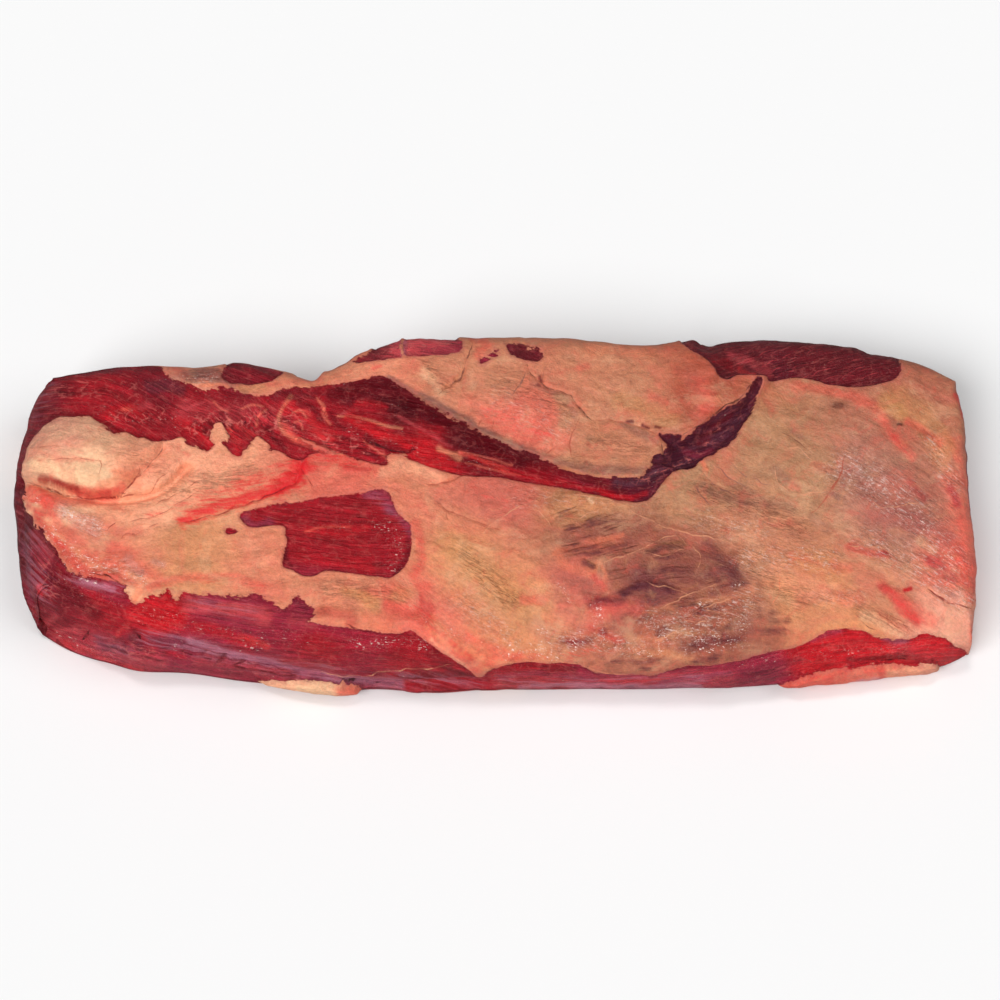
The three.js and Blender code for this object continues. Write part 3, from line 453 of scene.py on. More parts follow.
LEAN_STROKES = [
    (APRICOT, 0.9, 1.8, "291,395 284,406 279,417 281,427 288,434 298,438"),
    (CORAL, 0.7, 4, "284,424 292,436 310,443 330,452 344,460"),
    (SALMON, 0.8, 1.1, "316,396 321,404 327,414"), (ROSE, 0.7, 1.2, "338,414 344,411 354,415"),
    (CORAL, 0.7, 1.2, "296,412 304,409 310,414"), (ROSE, 0.5, 1.2, "288,430 298,422 308,424"),
    (SALMON, 0.75, 1.2, "214,401 221,408 228,410"), (SALMON, 0.7, 1.2, "229,417 226,424 230,430"),
    (ROSE, 0.6, 1.2, "186,408 194,404 204,402"), (APRICOT, 0.75, 3.2, "440,447 450,451 459,457"),
    (APRICOT, 0.75, 1.3, "338,413 350,415 366,418 384,423 402,427"),
    (SALMON, 0.5, 1.0, "458,450 484,456 512,463"), (SALMON, 0.4, 1.0, "466,462 490,468 520,474"),
    (SALMON, 0.5, 1.2, "364,440 378,450 392,460"), (ROSE, 0.9, 9, "190,604 226,608 262,614"),
    (ROSE, 0.4, 12, "60,640 110,652 160,664"), (ROSE, 0.45, 8, "200,662 260,672 330,682"),
    (ROSE, 0.35, 8, "500,684 600,684 730,680"), (ROSE, 0.35, 9, "900,650 925,655 950,660"),
    (ROSE, 0.3, 10, "180,412 220,410 300,416"), (PLUM, 0.6, 6, "150,386 166,384 182,388"),
    (PLUM, 0.5, 5, "60,372 90,366 120,364"), (MAROON, 0.5, 8, "40,420 50,400 70,384"),
    (SCARLET, 0.5, 6, "110,414 125,406 140,412"), (CORAL, 0.7, 2.5, "122,408 127,408"),
    (SCARLET, 0.5, 7, "176,420 196,430 208,440"), (SCARLET, 0.6, 4, "228,430 236,444 238,454"),
    (ROSE, 0.5, 4, "140,406 148,404"), (ROSE, 0.4, 4, "180,412 186,402"),
    # The oxblood and maroon strokes along the wall under the upper layer's edge (340,388 to 505,448) add
    # painted shade to the cut muscle there.
    (SCARLET, 0.6, 8, "290,406 310,420 330,436"), (OXBLOOD, 0.8, 5, "340,388 370,384 390,388"),
    (OXBLOOD, 0.7, 6, "330,396 350,400"), (SCARLET, 0.8, 5, "348,416 366,424 392,436 416,446"),
    (SCARLET, 0.4, 3, "356,402 372,400 386,404"), (BLOOD, 0.6, 2.5, "352,420 380,434 400,440"),
    (MAROON, 0.7, 7, "348,396 372,390 396,392 430,408 462,424"),
    (MAROON, 0.55, 5, "272,394 300,393 332,391"), (OXBLOOD, 0.55, 3.5, "268,424 273,436 284,447"),
    (OXBLOOD, 0.5, 3, "299,404 312,407 320,416"), (CORAL_RED, 0.6, 4.5, "312,423 319,431 327,438"),
    (OXBLOOD, 0.5, 2.5, "354,446 368,452 384,460"), (OXBLOOD, 0.5, 2.5, "330,411 337,420 344,428"),
    (SALMON, 0.7, 1.0, "294,411 301,409 306,416"), (SALMON, 0.6, 1.0, "295,421 300,420 303,428"),
    (SALMON, 0.7, 1.1, "318,400 324,405 322,411 330,422"), (OXBLOOD, 0.5, 3, "222,412 236,418 244,428"),
    (SALMON, 0.6, 1.1, "256,424 258,414 266,408"), (SALMON, 0.6, 1.1, "240,408 250,404 262,405"),
    (CORAL_RED, 0.5, 4, "236,424 246,430 252,438"), (OXBLOOD, 0.6, 2.5, "366,434 384,446 406,450 414,447"),
    (OXBLOOD, 0.9, 6, "390,398 430,412 470,432 505,448"), (ROSE, 0.45, 1.8, "400,414 430,432 452,444"),
    (CORAL, 0.6, 2, "460,452 484,460 506,468"),
    (SCARLET, 0.5, 3, "470,456 500,466 540,478 590,488 630,498"),
    (MAROON, 0.6, 3, "560,468 600,482 626,492"), (SILVER_SKIN, 0.35, 3, "616,480 636,482 656,472"),
    (AUBERGINE, 0.8, 6, "616,482 640,480 662,470"), (SCARLET, 0.5, 3, "600,490 626,496 646,492"),
    (MAROON, 0.6, 4, "700,440 716,424 730,412"), (MAUVE, 0.35, 3, "686,448 700,452 712,446"),
    (ROSE, 0.5, 4, "730,352 752,360 770,372"), (CORAL_RED, 0.5, 2.5, "740,366 756,372"),
    (OXBLOOD, 0.5, 4, "755,350 760,362"), (CRIMSON, 0.5, 5, "716,356 730,364"),
    (SILVER_SKIN, 0.4, 3, "402,332 404,354"), (MAUVE, 0.6, 6, "425,350 445,350 460,346"),
    (MAROON, 0.6, 5, "370,352 386,344"), (LILAC, 0.5, 6, "366,492 384,494 392,506"),
    (LILAC, 0.45, 4, "392,508 404,520 410,534"), (LILAC, 0.5, 5, "245,518 256,524 268,522"),
    (SCARLET, 0.5, 6, "310,532 340,530 365,528"), (CORAL, 0.6, 1.3, "304,531 326,527 350,526"),
    (OXBLOOD, 0.6, 2.5, "286,545 285,558 290,566"), (OXBLOOD, 0.5, 3, "408,538 406,556 398,570"),
    (SCARLET, 0.4, 8, "300,556 340,560 370,566"), (BLOOD, 0.7, 4.2, "38,588 41,594"),
    (MAUVE, 0.5, 5, "80,581 100,584 122,591"), (SILVER_SKIN, 0.4, 2.5, "84,580 102,584 114,588"),
    (AUBERGINE, 0.3, 6, "44,562 52,578"), (ROSE, 0.45, 7, "32,534 38,548 44,558"),
    (MAUVE, 0.5, 7, "108,594 124,598"), (OXBLOOD, 0.6, 9, "62,598 80,604 94,614"),
    # The lilac stroke at the left silhouette (24,548 to 28,600) is a painted highlight.
    (MAUVE, 0.4, 6, "36,548 46,566"), (LILAC, 0.3, 4, "24,548 26,575 28,600"),
    (OXBLOOD, 0.5, 5, "28,525 34,540"), (ROSE, 0.6, 3.5, "42,626 52,619"),
    (ROSE, 0.7, 2, "55,632 70,632 80,636"), (CORAL_RED, 0.5, 3, "60,644 80,652 110,664 140,672"),
    (SCARLET, 0.6, 8, "134,612 156,612 180,622"), (CORAL_RED, 0.45, 3, "118,634 128,624 132,618"),
    (PLUM, 0.7, 6, "132,638 140,648"), (PLUM, 0.5, 4, "96,642 110,648 126,650"),
    (LILAC, 0.35, 4, "98,646 118,652"), (SCARLET, 0.5, 5, "168,656 182,660"),
    (SCARLET, 0.7, 8, "196,628 222,636 250,646"), (CORAL_RED, 0.9, 5, "240,638 256,643 266,650"),
    (ROSE, 0.6, 7, "206,604 236,610 262,616"), (LILAC, 0.5, 4, "200,600 214,602"),
    (PLUM, 0.4, 3, "294,602 306,606"), (ROSE, 0.5, 5, "292,620 310,622"),
    (LILAC, 0.6, 5, "150,640 190,646 230,660"), (PLUM, 0.5, 3, "146,648 180,654 216,664"),
    (SILVER_SKIN, 0.5, 4.5, "190,644 230,655 280,668 330,680 400,687"),
    (PLUM, 0.6, 1.3, "200,654 240,664 290,675 330,684"), (LILAC, 0.6, 4, "230,660 280,670 330,680 400,686"),
    (PLUM, 0.45, 2, "216,668 260,676 300,682"), (MAROON, 0.6, 3, "400,680 440,676 474,678"),
    (MAROON, 0.4, 5, "430,654 450,668"), (SILVER_SKIN, 0.4, 2.5, "520,691 580,687 640,690 700,690"),
    (LILAC, 0.35, 2, "500,680 560,677 600,682"), (MAROON, 0.6, 4, "545,668 575,671"),
    (CORAL_RED, 0.5, 2.5, "600,682 640,684 680,680"), (LILAC, 0.5, 2.5, "660,686 700,680 730,676"),
    (PLUM, 0.35, 5, "745,676 775,668 800,662"), (CORAL_RED, 0.45, 3, "830,648 860,644 880,650"),
    (LILAC, 0.6, 3.5, "884,638 896,642 906,641"), (LILAC, 0.5, 3, "812,640 826,634 840,631"),
    (OXBLOOD, 0.6, 3, "850,660 880,661 905,660"), (SCARLET, 0.6, 8, "925,646 945,654"),
    (OXBLOOD, 0.4, 4, "900,654 930,664"),
]

# Amounts of what the material adds, each as strokes: strength, half width and points.
BLOOD_STAINS = [
    (1.0, 13, "302,462 292,478 276,490"), (0.9, 9, "276,488 240,500 206,511 184,520"),
    (0.6, 14, "290,470 250,484 205,500"), (0.55, 10, "298,450 322,456 352,462"),
    (0.4, 6, "150,514 180,506 205,496"), (0.45, 5, "36,512 50,530 62,548"),
    (0.35, 10, "484,412 520,424 556,440"), (0.4, 5, "894,436 906,452"), (0.3, 10, "470,492 500,500"),
    (0.45, 5, "884,590 900,606 916,620"), (0.35, 5, "415,530 424,552 414,578"),
    (0.35, 6, "410,604 440,630 470,660"), (0.3, 5, "160,586 210,580 262,588"),
    (0.3, 6, "520,650 560,656 600,650"),
]
VEILS = [
    (0.95, 3.5, "584,563 592,566"), (0.75, 4.5, "648,551 664,547 682,546"),
    (0.75, 4.5, "622,594 640,587 658,588 678,592"), (0.6, 5, "590,605 604,601 620,600"),
    (0.3, 4, "390,382 436,405 480,430 520,447 570,465 640,471"), (0.55, 10, "710,552 728,568 738,584"),
    (0.3, 12, "640,566 676,566 706,574"), (0.85, 4.5, "690,648 710,643 738,640"),
    (0.7, 4, "562,641 574,643 590,642"), (0.35, 12, "845,480 880,500 920,520"), (0.3, 8, "790,530 820,545"),
    (0.35, 5, "700,486 730,500 770,506"), (0.35, 4, "595,470 625,472"), (0.5, 5, "192,378 206,374 222,376"),
    (0.28, 20, "590,545 640,535 690,560"), (0.25, 18, "650,600 700,590 740,600"),
    (0.2, 16, "680,630 730,632 770,625"),
]
# Stripes of muscle seen through the film: each breaks up into several thin ones.
VEIL_STRIPES = [
    (0.8, 2.2, "553,518 568,513 582,506"), (0.95, 2.4, "560,532 572,530 586,528"),
    (0.95, 3.2, "584,526 600,521 630,513"), (0.95, 2.4, "560,544 580,540 600,533"),
    (0.9, 2.6, "600,532 616,526 634,520"), (1.0, 3.4, "564,555 584,551 606,545 640,534"),
    (1.0, 3.2, "586,561 606,554 626,548 650,540"), (0.7, 3.5, "604,577 616,576 634,572"),
    (0.8, 3.4, "650,563 672,560 696,554"), (0.8, 4, "640,578 680,572 716,574"),
    (0.9, 4, "660,610 688,604 724,596"), (1.0, 4.5, "648,631 664,628 684,620"),
    (0.9, 3.6, "684,616 706,610 740,600"), (0.9, 3.4, "690,634 722,626 760,616"),
    (1.0, 4, "660,650 690,648 720,640 750,634"), (1.0, 3.6, "690,664 720,658 756,650"),
    (0.8, 3.6, "630,662 650,660 680,654"), (1.0, 2.4, "636,669 656,667"),
    (0.9, 3, "600,664 620,660 636,662"), (0.9, 2.8, "592,637 600,634 608,634"),
    (0.7, 5, "745,612 770,620 800,618"), (0.7, 2.4, "776,622 794,619"), (0.6, 4, "700,590 730,582 750,584"),
    (0.6, 3.5, "740,636 770,632 800,628"),
]
WRINKLED = [
    (0.8, 6, "426,366 436,376 446,388"), (0.6, 8, "190,378 222,376"), (0.9, 10, "470,560 510,600"),
    (0.7, 12, "700,490 750,505 800,530"), (0.7, 10, "170,490 220,482 250,470"),
    (0.6, 12, "330,590 400,594"), (0.6, 12, "740,560 800,600"), (0.5, 8, "130,455 160,470"),
    (0.8, 7, "860,612 905,628"), (0.6, 12, "500,380 560,405"), (0.5, 14, "900,470 945,520"),
    (0.5, 8, "590,440 640,450"),
]
SILVERED = [
    # Silver skin on the muscle, partly painted highlight: the strokes along the left silhouette (26,540 to
    # 40,600 and 30,410 to 44,380) paint the pale highlight there.
    (1.0, 8, "146,640 200,650 280,668 350,680"), (0.8, 6, "350,682 420,682 480,684"),
    (0.6, 14, "26,540 34,570 40,600"), (0.6, 6, "500,686 600,684 700,682"), (0.5, 8, "195,602 250,612"),
    (0.8, 5, "60,574 90,582 122,588"), (0.4, 6, "98,640 130,656"), (0.5, 4, "884,638 906,642"),
    (0.5, 10, "30,410 44,380"), (0.4, 5, "372,494 398,514 410,532"), (0.12, 10, "640,478 690,450 730,415"),
]
# Painted highlight streaks and curls on the fat, mixed into its colour; these places also get a stronger
# grain.
PAINTED_SHEEN = [
    (1.0, 18, "846,470 900,500 950,560"), (0.9, 14, "870,540 920,570 965,600"),
    (0.7, 10, "930,440 955,490"), (0.8, 12, "740,560 780,556 830,560"), (0.5, 12, "700,520 760,530"),
    (1.0, 12, "650,620 690,630 750,600"), (0.8, 10, "560,640 600,640 640,650"),
    (0.8, 9, "64,510 82,520 98,530"), (0.5, 8, "110,560 140,576"), (0.5, 12, "460,600 500,630"),
    (0.35, 14, "520,500 600,500"), (0.7, 7, "188,380 216,378"), (0.5, 8, "820,600 860,596"),
    (0.4, 16, "500,400 560,430"),
]
# Moist places: lower roughness there, and painted highlight spots mixed into the colour.
WET_AND_GLINTS = [
    (1.5, 2.2, "347,638 352,642 364,648"), (1.5, 1.8, "374,640 381,648 386,641"),
    (1.5, 1.6, "394,646 397,648"), (1.5, 1.8, "411,642 414,645 424,650"), (1.2, 3, "26,496 36,502 44,498"),
    (1.1, 6, "126,572 140,576"), (0.8, 5, "60,562 74,568 86,572"), (1.0, 10, "380,528 396,545 392,566"),
    (1.0, 3, "326,528 334,527"), (1.0, 4, "70,574 84,580"), (0.9, 6, "200,630 240,636 256,650"),
    (0.9, 4, "150,618 180,616"), (1.0, 5, "505,655 520,648 530,640"), (1.1, 5, "572,628 578,640 572,648"),
    (1.2, 5, "592,600 600,616 602,636"), (1.0, 5, "624,644 640,650 655,655"),
    (1.2, 7, "655,628 668,632 690,612 712,600"), (1.1, 6, "680,646 700,640 740,628"),
    (1.0, 6, "540,628 548,640 536,654"), (0.9, 4, "560,584 570,600"), (1.4, 8, "64,511 82,520 98,528"),
    (1.3, 4, "30,497 40,501"), (1.2, 5, "84,556 104,566 134,574"), (1.0, 9, "50,530 70,552 100,566"),
    (1.3, 3, "82,578 98,583"), (1.2, 3, "232,640 246,646 258,652"), (1.0, 4, "180,640 176,652"),
    (0.8, 8, "60,640 110,660"), (0.9, 10, "500,636 524,648 552,655"), (0.9, 8, "664,652 700,650 740,640"),
    (0.9, 5, "90,572 130,576 144,580"), (0.8, 3, "156,563 163,565"),
    (1.0, 9, "646,640 680,636 720,640 745,620"), (1.0, 6, "560,630 574,640 600,650"),
    (0.9, 6, "510,645 526,642"), (0.8, 6, "592,618 600,640"), (0.8, 7, "620,644 650,655"),
    (0.8, 5, "690,600 720,590 740,585"), (1.0, 7, "350,640 380,644 424,646"), (0.6, 5, "412,616 424,624"),
    (0.7, 4, "444,630 460,634 484,640"), (0.6, 6, "376,515 400,530 396,560"), (0.7, 2.5, "318,526 344,526"),
    (0.5, 12, "60,580 110,600"), (0.6, 12, "150,615 220,640 300,640"), (0.5, 9, "350,430 420,450 500,470"),
    (0.4, 12, "100,410 200,420"), (0.7, 6, "740,668 800,656 900,650"), (0.7, 4, "786,569 806,545"),
    (0.6, 5, "900,518 930,530"), (0.6, 4, "960,594 972,601"), (0.5, 5, "800,560 830,556"),
]
FLECKED = [
    (1.0, 12, "195,425 240,420 290,420"), (0.7, 9, "110,420 160,412"), (0.9, 8, "300,440 350,444 380,456"),
    (0.6, 6, "640,482 690,455 720,425"), (0.3, 10, "760,360 870,368"), (0.5, 12, "60,390 150,385"),
    (0.5, 8, "380,346 450,344"), (0.5, 12, "40,560 50,590"), (0.5, 10, "100,650 160,660"),
    (0.35, 10, "830,650 940,652"),
]
LUMPY = [
    (1.2, 8, "30,492 44,500"), (0.9, 8, "76,562 100,574 130,580"), (0.8, 8, "36,520 56,548 76,572 110,584"),
    (0.6, 10, "110,640 140,640"), (0.5, 8, "168,650 220,636 250,642"), (0.5, 8, "280,612 320,614"),
    (0.5, 7, "400,604 440,634 470,664"), (0.4, 8, "180,425 240,420 300,440"), (0.4, 6, "520,650 600,660"),
    (0.5, 5, "300,465 280,480"), (0.3, 10, "80,545 130,570"),
]
RAGGED = [
    (1.0, 14, "180,436 230,440"), (0.7, 10, "80,418 130,430 170,440"), (0.8, 10, "250,440 320,452 400,460"),
    (0.7, 12, "60,572 100,584 150,595"), (0.6, 9, "160,594 230,597 300,602"),
    (0.9, 14, "610,472 660,460 700,448 750,410"), (0.6, 8, "420,400 480,430 560,468"),
    (0.6, 9, "500,350 540,352"), (0.5, 7, "830,632 890,638 960,645"), (0.5, 6, "740,688 830,668 940,667"),
    (1.1, 12, "20,500 40,540 58,572"), (0.6, 9, "165,380 240,388"), (0.7, 7, "290,610 330,612"),
]


def smoothstep(value, low, high):
    share = np.clip((value - low) / (high - low), 0, 1)
    return share * share * (3 - 2 * share)


def linear(colour):
    """An sRGB colour, 0-255, as linear RGB."""
    share = np.array(colour, float) / 255
    return np.where(share <= 0.04045, share / 12.92, ((share + 0.055) / 1.055) ** 2.4)


# Curves and noise


def traced(line):
    """The points of a line: a list, or text with a comma between x and y and a space between points."""
    if isinstance(line, str):
        line = [pair.split(",") for pair in line.split()]
    return np.array(line, float)


def smooth_path(line, closed=False, steps=6):
    """A Catmull-Rom path through the points of a line."""
    ends = traced(line)
    if closed:
        padded = np.vstack([ends[-1], ends, ends[0], ends[1]])
    else:
        padded = np.vstack([2 * ends[0] - ends[1], ends, 2 * ends[-1] - ends[-2]])
    t = np.linspace(0, 1, steps, endpoint=False)[:, None]
    path = []
    for a, b, c, d in zip(padded, padded[1:], padded[2:], padded[3:]):
        cubic = 3 * b - a - 3 * c + d
        path.append(0.5 * (2 * b + (c - a) * t + (2 * a - 5 * b + 4 * c - d) * t**2 + cubic * t**3))
    return np.vstack(path + ([] if closed else [ends[-1:]]))


def edge_curve(points):
    """A function from shares of the length, 0 to 1, to places on a smooth curve."""
    path = smooth_path(points, steps=40)
    run = np.r_[0, np.cumsum(np.linalg.norm(np.diff(path, axis=0), axis=1))]
    share = run / run[-1]
    return lambda s: np.stack([np.interp(s, share, path[:, k]) for k in (0, 1)], -1)


def noise(points, cell, seed):
    """Smooth noise from -1 to 1 that changes over about one cell, in two or three dimensions."""
    grid = np.asarray(points, float) / cell
    base = np.floor(grid).astype(np.int64)
    share = grid - base
    share = share * share * (3 - 2 * share)
    total = np.zeros(len(grid))
    primes = (374761393, 668265263, 1440670441)
    for corner in itertools.product((0, 1), repeat=grid.shape[1]):
        mixed = np.full(len(grid), seed * 974711, np.int64)
        weight = np.ones(len(grid))
        for axis, step in enumerate(corner):
            mixed = mixed + (base[:, axis] + step) * primes[axis]
            weight = weight * (share[:, axis] if step else 1 - share[:, axis])
        mixed = (mixed ^ (mixed >> 13)) * 1274126177
        mixed = (mixed ^ (mixed >> 16)) & 0xFFFFFF
        total += weight * (mixed / 0x7FFFFF - 1)
    return total


def layered_noise(points, cell, seed, layers=3):
    """Noise with finer and weaker noise added."""
    parts = [noise(points, cell / 2**n, seed + n) / 2**n for n in range(layers)]
    return sum(parts) / sum(1 / 2**n for n in range(layers))


# The slab


def box_lattice(counts):
    """Points from -1 to 1 on the surface of a box, and its quads, wound to face outwards."""
    nodes, quads = [], []
    for axis in range(3):
        b, c = (axis + 1) % 3, (axis + 2) % 3
        for end in (0, 1):
            i, j = np.meshgrid(np.arange(counts[b] + 1), np.arange(counts[c] + 1), indexing="ij")
            place = np.zeros(i.shape + (3,), np.int64)
            place[..., axis] = end * counts[axis]
            place[..., b] = i
            place[..., c] = j
            codes = (place[..., 0] * (counts[1] + 1) + place[..., 1]) * (counts[2] + 1) + place[..., 2]
            corners = [codes[:-1, :-1], codes[1:, :-1], codes[1:, 1:], codes[:-1, 1:]]
            order = corners if end else corners[::-1]
            quads.append(np.stack([q.ravel() for q in order], -1))
            nodes.append(np.column_stack([codes.ravel(), place.reshape(-1, 3)]))
    nodes = np.vstack(nodes)
    codes, first = np.unique(nodes[:, 0], return_index=True)
    places = nodes[first, 1:] / np.array(counts) * 2 - 1
    return places, np.searchsorted(codes, np.vstack(quads))


def plan_points(along, across):
    """A Coons patch over the four edge curves."""
    near, far, left, right = (edge_curve(e) for e in (NEAR_EDGE, FAR_EDGE, LEFT_EDGE, RIGHT_EDGE))
    u, v = along[:, None], across[:, None]
    point = near(along) * (1 - v) + far(along) * v + left(across) * (1 - u) + right(across) * u
    corners = (
        np.array(NEAR_LEFT) * (1 - u) * (1 - v) + np.array(NEAR_RIGHT) * u * (1 - v)
        + np.array(FAR_LEFT) * (1 - u) * v + np.array(FAR_RIGHT) * u * v
    )
    return point - corners


def top_height(plan):
    places, heights = np.array(TOP_HEIGHTS, float).T
    step = np.clip(np.searchsorted(places, plan[:, 0]) - 1, 0, len(places) - 2)
    share = smoothstep(plan[:, 0], places[step], places[step + 1])
    height = heights[step] + (heights[step + 1] - heights[step]) * share
    return height - CROWN * (plan[:, 1] / HALF_WIDTH) ** 2


def bottom_height(plan):
    ends = smoothstep(np.abs(plan[:, 0]) / HALF_LENGTH, 0.8, 1)
    sides = smoothstep(np.abs(plan[:, 1]) / HALF_WIDTH, 0.75, 1)
    return -SAG + EDGE_LIFT * np.maximum(ends, sides)


def slab_points(box):
    """The rounded slab, from points on the box."""
    angle = box[:, 2] * math.pi / 2
    upper = box[:, 2] > 0
    inset = 1 - np.maximum(np.cos(angle), 0) ** (2 / SECTION_POWER)
    rounding = {
        side: np.where(upper, TOP_ROUNDING[side], BOTTOM_ROUNDING[side]) * inset for side in TOP_ROUNDING
    }
    start = rounding["left"] / (2 * HALF_LENGTH)
    end = 1 - rounding["right"] / (2 * HALF_LENGTH)
    along = start + (end - start) * (box[:, 0] + 1) / 2
    start = rounding["near"] / (2 * HALF_WIDTH)
    end = 1 - rounding["far"] / (2 * HALF_WIDTH)
    across = start + (end - start) * (box[:, 1] + 1) / 2
    plan = plan_points(along, across)
    top, bottom = top_height(plan), bottom_height(plan)
    widest = bottom + (top - bottom) * WIDEST_SHARE
    rise = np.abs(np.sin(angle)) ** (2 / SECTION_POWER)
    height = widest + (np.where(upper, top, bottom) - widest) * rise
    return np.column_stack([plan, height])


def point_normals(points, quads):
    across = points[quads[:, 2]] - points[quads[:, 0]]
    along = points[quads[:, 3]] - points[quads[:, 1]]
    facing = np.cross(across, along)
    total = np.zeros_like(points)
    for corner in range(4):
        for axis in range(3):
            total[:, axis] += np.bincount(quads[:, corner], facing[:, axis], len(points))
    return total / np.maximum(np.linalg.norm(total, axis=1, keepdims=True), 1e-9)


# Reading outlines on the view


def on_view(points):
    offset = points - VIEW_TARGET
    scale = VIEW_DISTANCE / (VIEW_DISTANCE + offset @ VIEW_FORWARD) / VIEW_UNIT
    return np.column_stack([VIEW_MIDDLE + offset[:, 0] * scale, VIEW_MIDDLE - offset @ VIEW_UP * scale])


def path_reading(places, path, reach):
    """For the places within reach of a path: their indices, distance, side and share along it."""
    low, high = path.min(0) - reach, path.max(0) + reach
    near = np.flatnonzero(np.all((places > low) & (places < high), axis=1))
    spot = places[near]
    best = np.full(len(near), np.inf)
    side = np.ones(len(near))
    along = np.zeros(len(near))
    for n, (a, b) in enumerate(zip(path, path[1:])):
        run = b - a
        offset = spot - a
        share = np.clip(offset @ run / max(run @ run, 1e-9), 0, 1)
        gap = np.hypot(*(offset - share[:, None] * run).T)
        nearer = gap < best
        best = np.where(nearer, gap, best)
        side = np.where(nearer, np.sign(run[0] * offset[:, 1] - run[1] * offset[:, 0]), side)
        along = np.where(nearer, (n + share) / (len(path) - 1), along)
    return near, best, side, along


def depth_inside(places, outline):
    """Millimetres inside an outline on the view, negative outside, down to minus the reach."""
    path = smooth_path(outline, closed=True, steps=4)
    path = np.vstack([path, path[:1]])
    depth = np.full(len(places), -OUTLINE_REACH)
    near, gap, _, _ = path_reading(places, path, OUTLINE_REACH)
    spot = places[near]
    inside = np.zeros(len(near), bool)
    for a, b in zip(path, path[1:]):
        crosses = (a[1] > spot[:, 1]) != (b[1] > spot[:, 1])
        rise = b[1] - a[1] if b[1] != a[1] else 1e-9
        inside ^= crosses & (spot[:, 0] < a[0] + (spot[:, 1] - a[1]) / rise * (b[0] - a[0]))
    depth[near] = np.where(inside, gap, -np.minimum(gap, OUTLINE_REACH))
    return depth * VIEW_UNIT


def stroked(places, strokes):
    """The strongest of some soft strokes."""
    amount = np.zeros(len(places))
    for strength, half_width, line in strokes:
        near, gap, _, _ = path_reading(places, smooth_path(line), 2.5 * half_width)
        amount[near] = np.maximum(amount[near], strength * np.exp(-0.9 * (gap / half_width) ** 2))
    return amount


FIBRES = 9
FIBRE_SEED = 7


def fibred(places, strokes, seed):
    """Each stroke as thin fibres that taper to both ends, a little apart from each other."""
    random = np.random.default_rng(seed)
    clear = np.ones(len(places))
    for strength, half_width, line in strokes:
        path = smooth_path(line, steps=4)
        for _ in range(FIBRES):
            start, end = random.uniform((0, 0.55), (0.45, 1)) * (len(path) - 1)
            fibre = path[np.linspace(start, end, 5).astype(int)] + random.normal(0, half_width, 2)
            width = half_width * random.uniform(0.24, 0.52)
            near, gap, _, along = path_reading(places, fibre, 3 * width)
            taper = np.sqrt(np.clip(4 * along * (1 - along), 0, 1))
            share = strength * random.uniform(0.25, 0.6) * taper * np.exp(-0.9 * (gap / width) ** 2)
            clear[near] *= 1 - share
    return 1 - clear


def painted(places, colours, broken, strokes):
    """Strokes of colour laid over the colours one after another, their edges broken by noise."""
    colours = colours.copy()
    for colour, strength, half_width, line in strokes:
        near, gap, _, _ = path_reading(places, smooth_path(line), 2.5 * half_width)
        amount = np.exp(-0.9 * (gap / half_width) ** 2)
        share = smoothstep(amount + 0.45 * broken[near], 0.05, 0.9) * smoothstep(amount, 0.004, 0.15)
        colours[near] += strength * share[:, None] * (linear(colour) - colours[near])
    return colours


def zone_colours(places, zones, softness):
    """Each place takes the colours of the zones around it, the nearest most."""
    total = np.zeros((len(places), 3))
    weights = np.zeros(len(places))
    for colour, middles in zones:
        for middle in traced(middles):
            gap = np.hypot(*(places - middle).T)
            weight = 1 / (gap**2 + softness**2) ** 2
            total += weight[:, None] * linear(colour)
            weights += weight
    return total / weights[:, None]


# Grain


GRID_STEP = 4
GRID_LEFT, GRID_TOP, GRID_RIGHT, GRID_BOTTOM = -20, 310, 1020, 730


def least_squares_surface(slope_x, slope_y):
    """The surface whose slopes come closest to the given ones, by a cosine transform."""
    rows, columns = slope_x.shape
    change = np.zeros((rows, columns))
    mid_x = (slope_x[:, 1:] + slope_x[:, :-1]) / 2
    mid_y = (slope_y[1:] + slope_y[:-1]) / 2
    change[:, :-1] += mid_x
    change[:, 1:] -= mid_x
    change[:-1] += mid_y
    change[1:] -= mid_y
    mirrored = np.block([[change, change[:, ::-1]], [change[::-1], change[::-1, ::-1]]])
    spectrum = np.fft.fft2(mirrored)
    bend_y = 2 * np.cos(np.pi * np.arange(2 * rows) / rows) - 2
    bend_x = 2 * np.cos(np.pi * np.arange(2 * columns) / columns) - 2
    bend = bend_y[:, None] + bend_x[None]
    bend[0, 0] = 1
    spectrum /= bend
    spectrum[0, 0] = 0
    return np.real(np.fft.ifft2(spectrum))[:rows, :columns]


def grain_coordinates(places, lines):
    """Millimetres across and along a grain that follows the given lines."""
    columns = np.arange(GRID_LEFT, GRID_RIGHT, GRID_STEP, dtype=float)
    rows = np.arange(GRID_TOP, GRID_BOTTOM, GRID_STEP, dtype=float)
    x, y = np.meshgrid(columns, rows)
    flow_x, flow_y = np.zeros_like(x), np.zeros_like(y)
    for line in lines:
        path = smooth_path(line, steps=4)
        for a, b in zip(path, path[1:]):
            middle, run = (a + b) / 2, b - a
            weight = 1 / ((x - middle[0]) ** 2 + (y - middle[1]) ** 2 + 60) ** 1.5
            flow_x += weight * run[0]
            flow_y += weight * run[1]
    size = np.hypot(flow_x, flow_y)
    flow_x, flow_y = flow_x / size, flow_y / size
    across = least_squares_surface(-flow_y, flow_x) * GRID_STEP * VIEW_UNIT
    along = least_squares_surface(flow_x, flow_y) * GRID_STEP * VIEW_UNIT
    return [read_grid(grid, places) for grid in (across, along)]


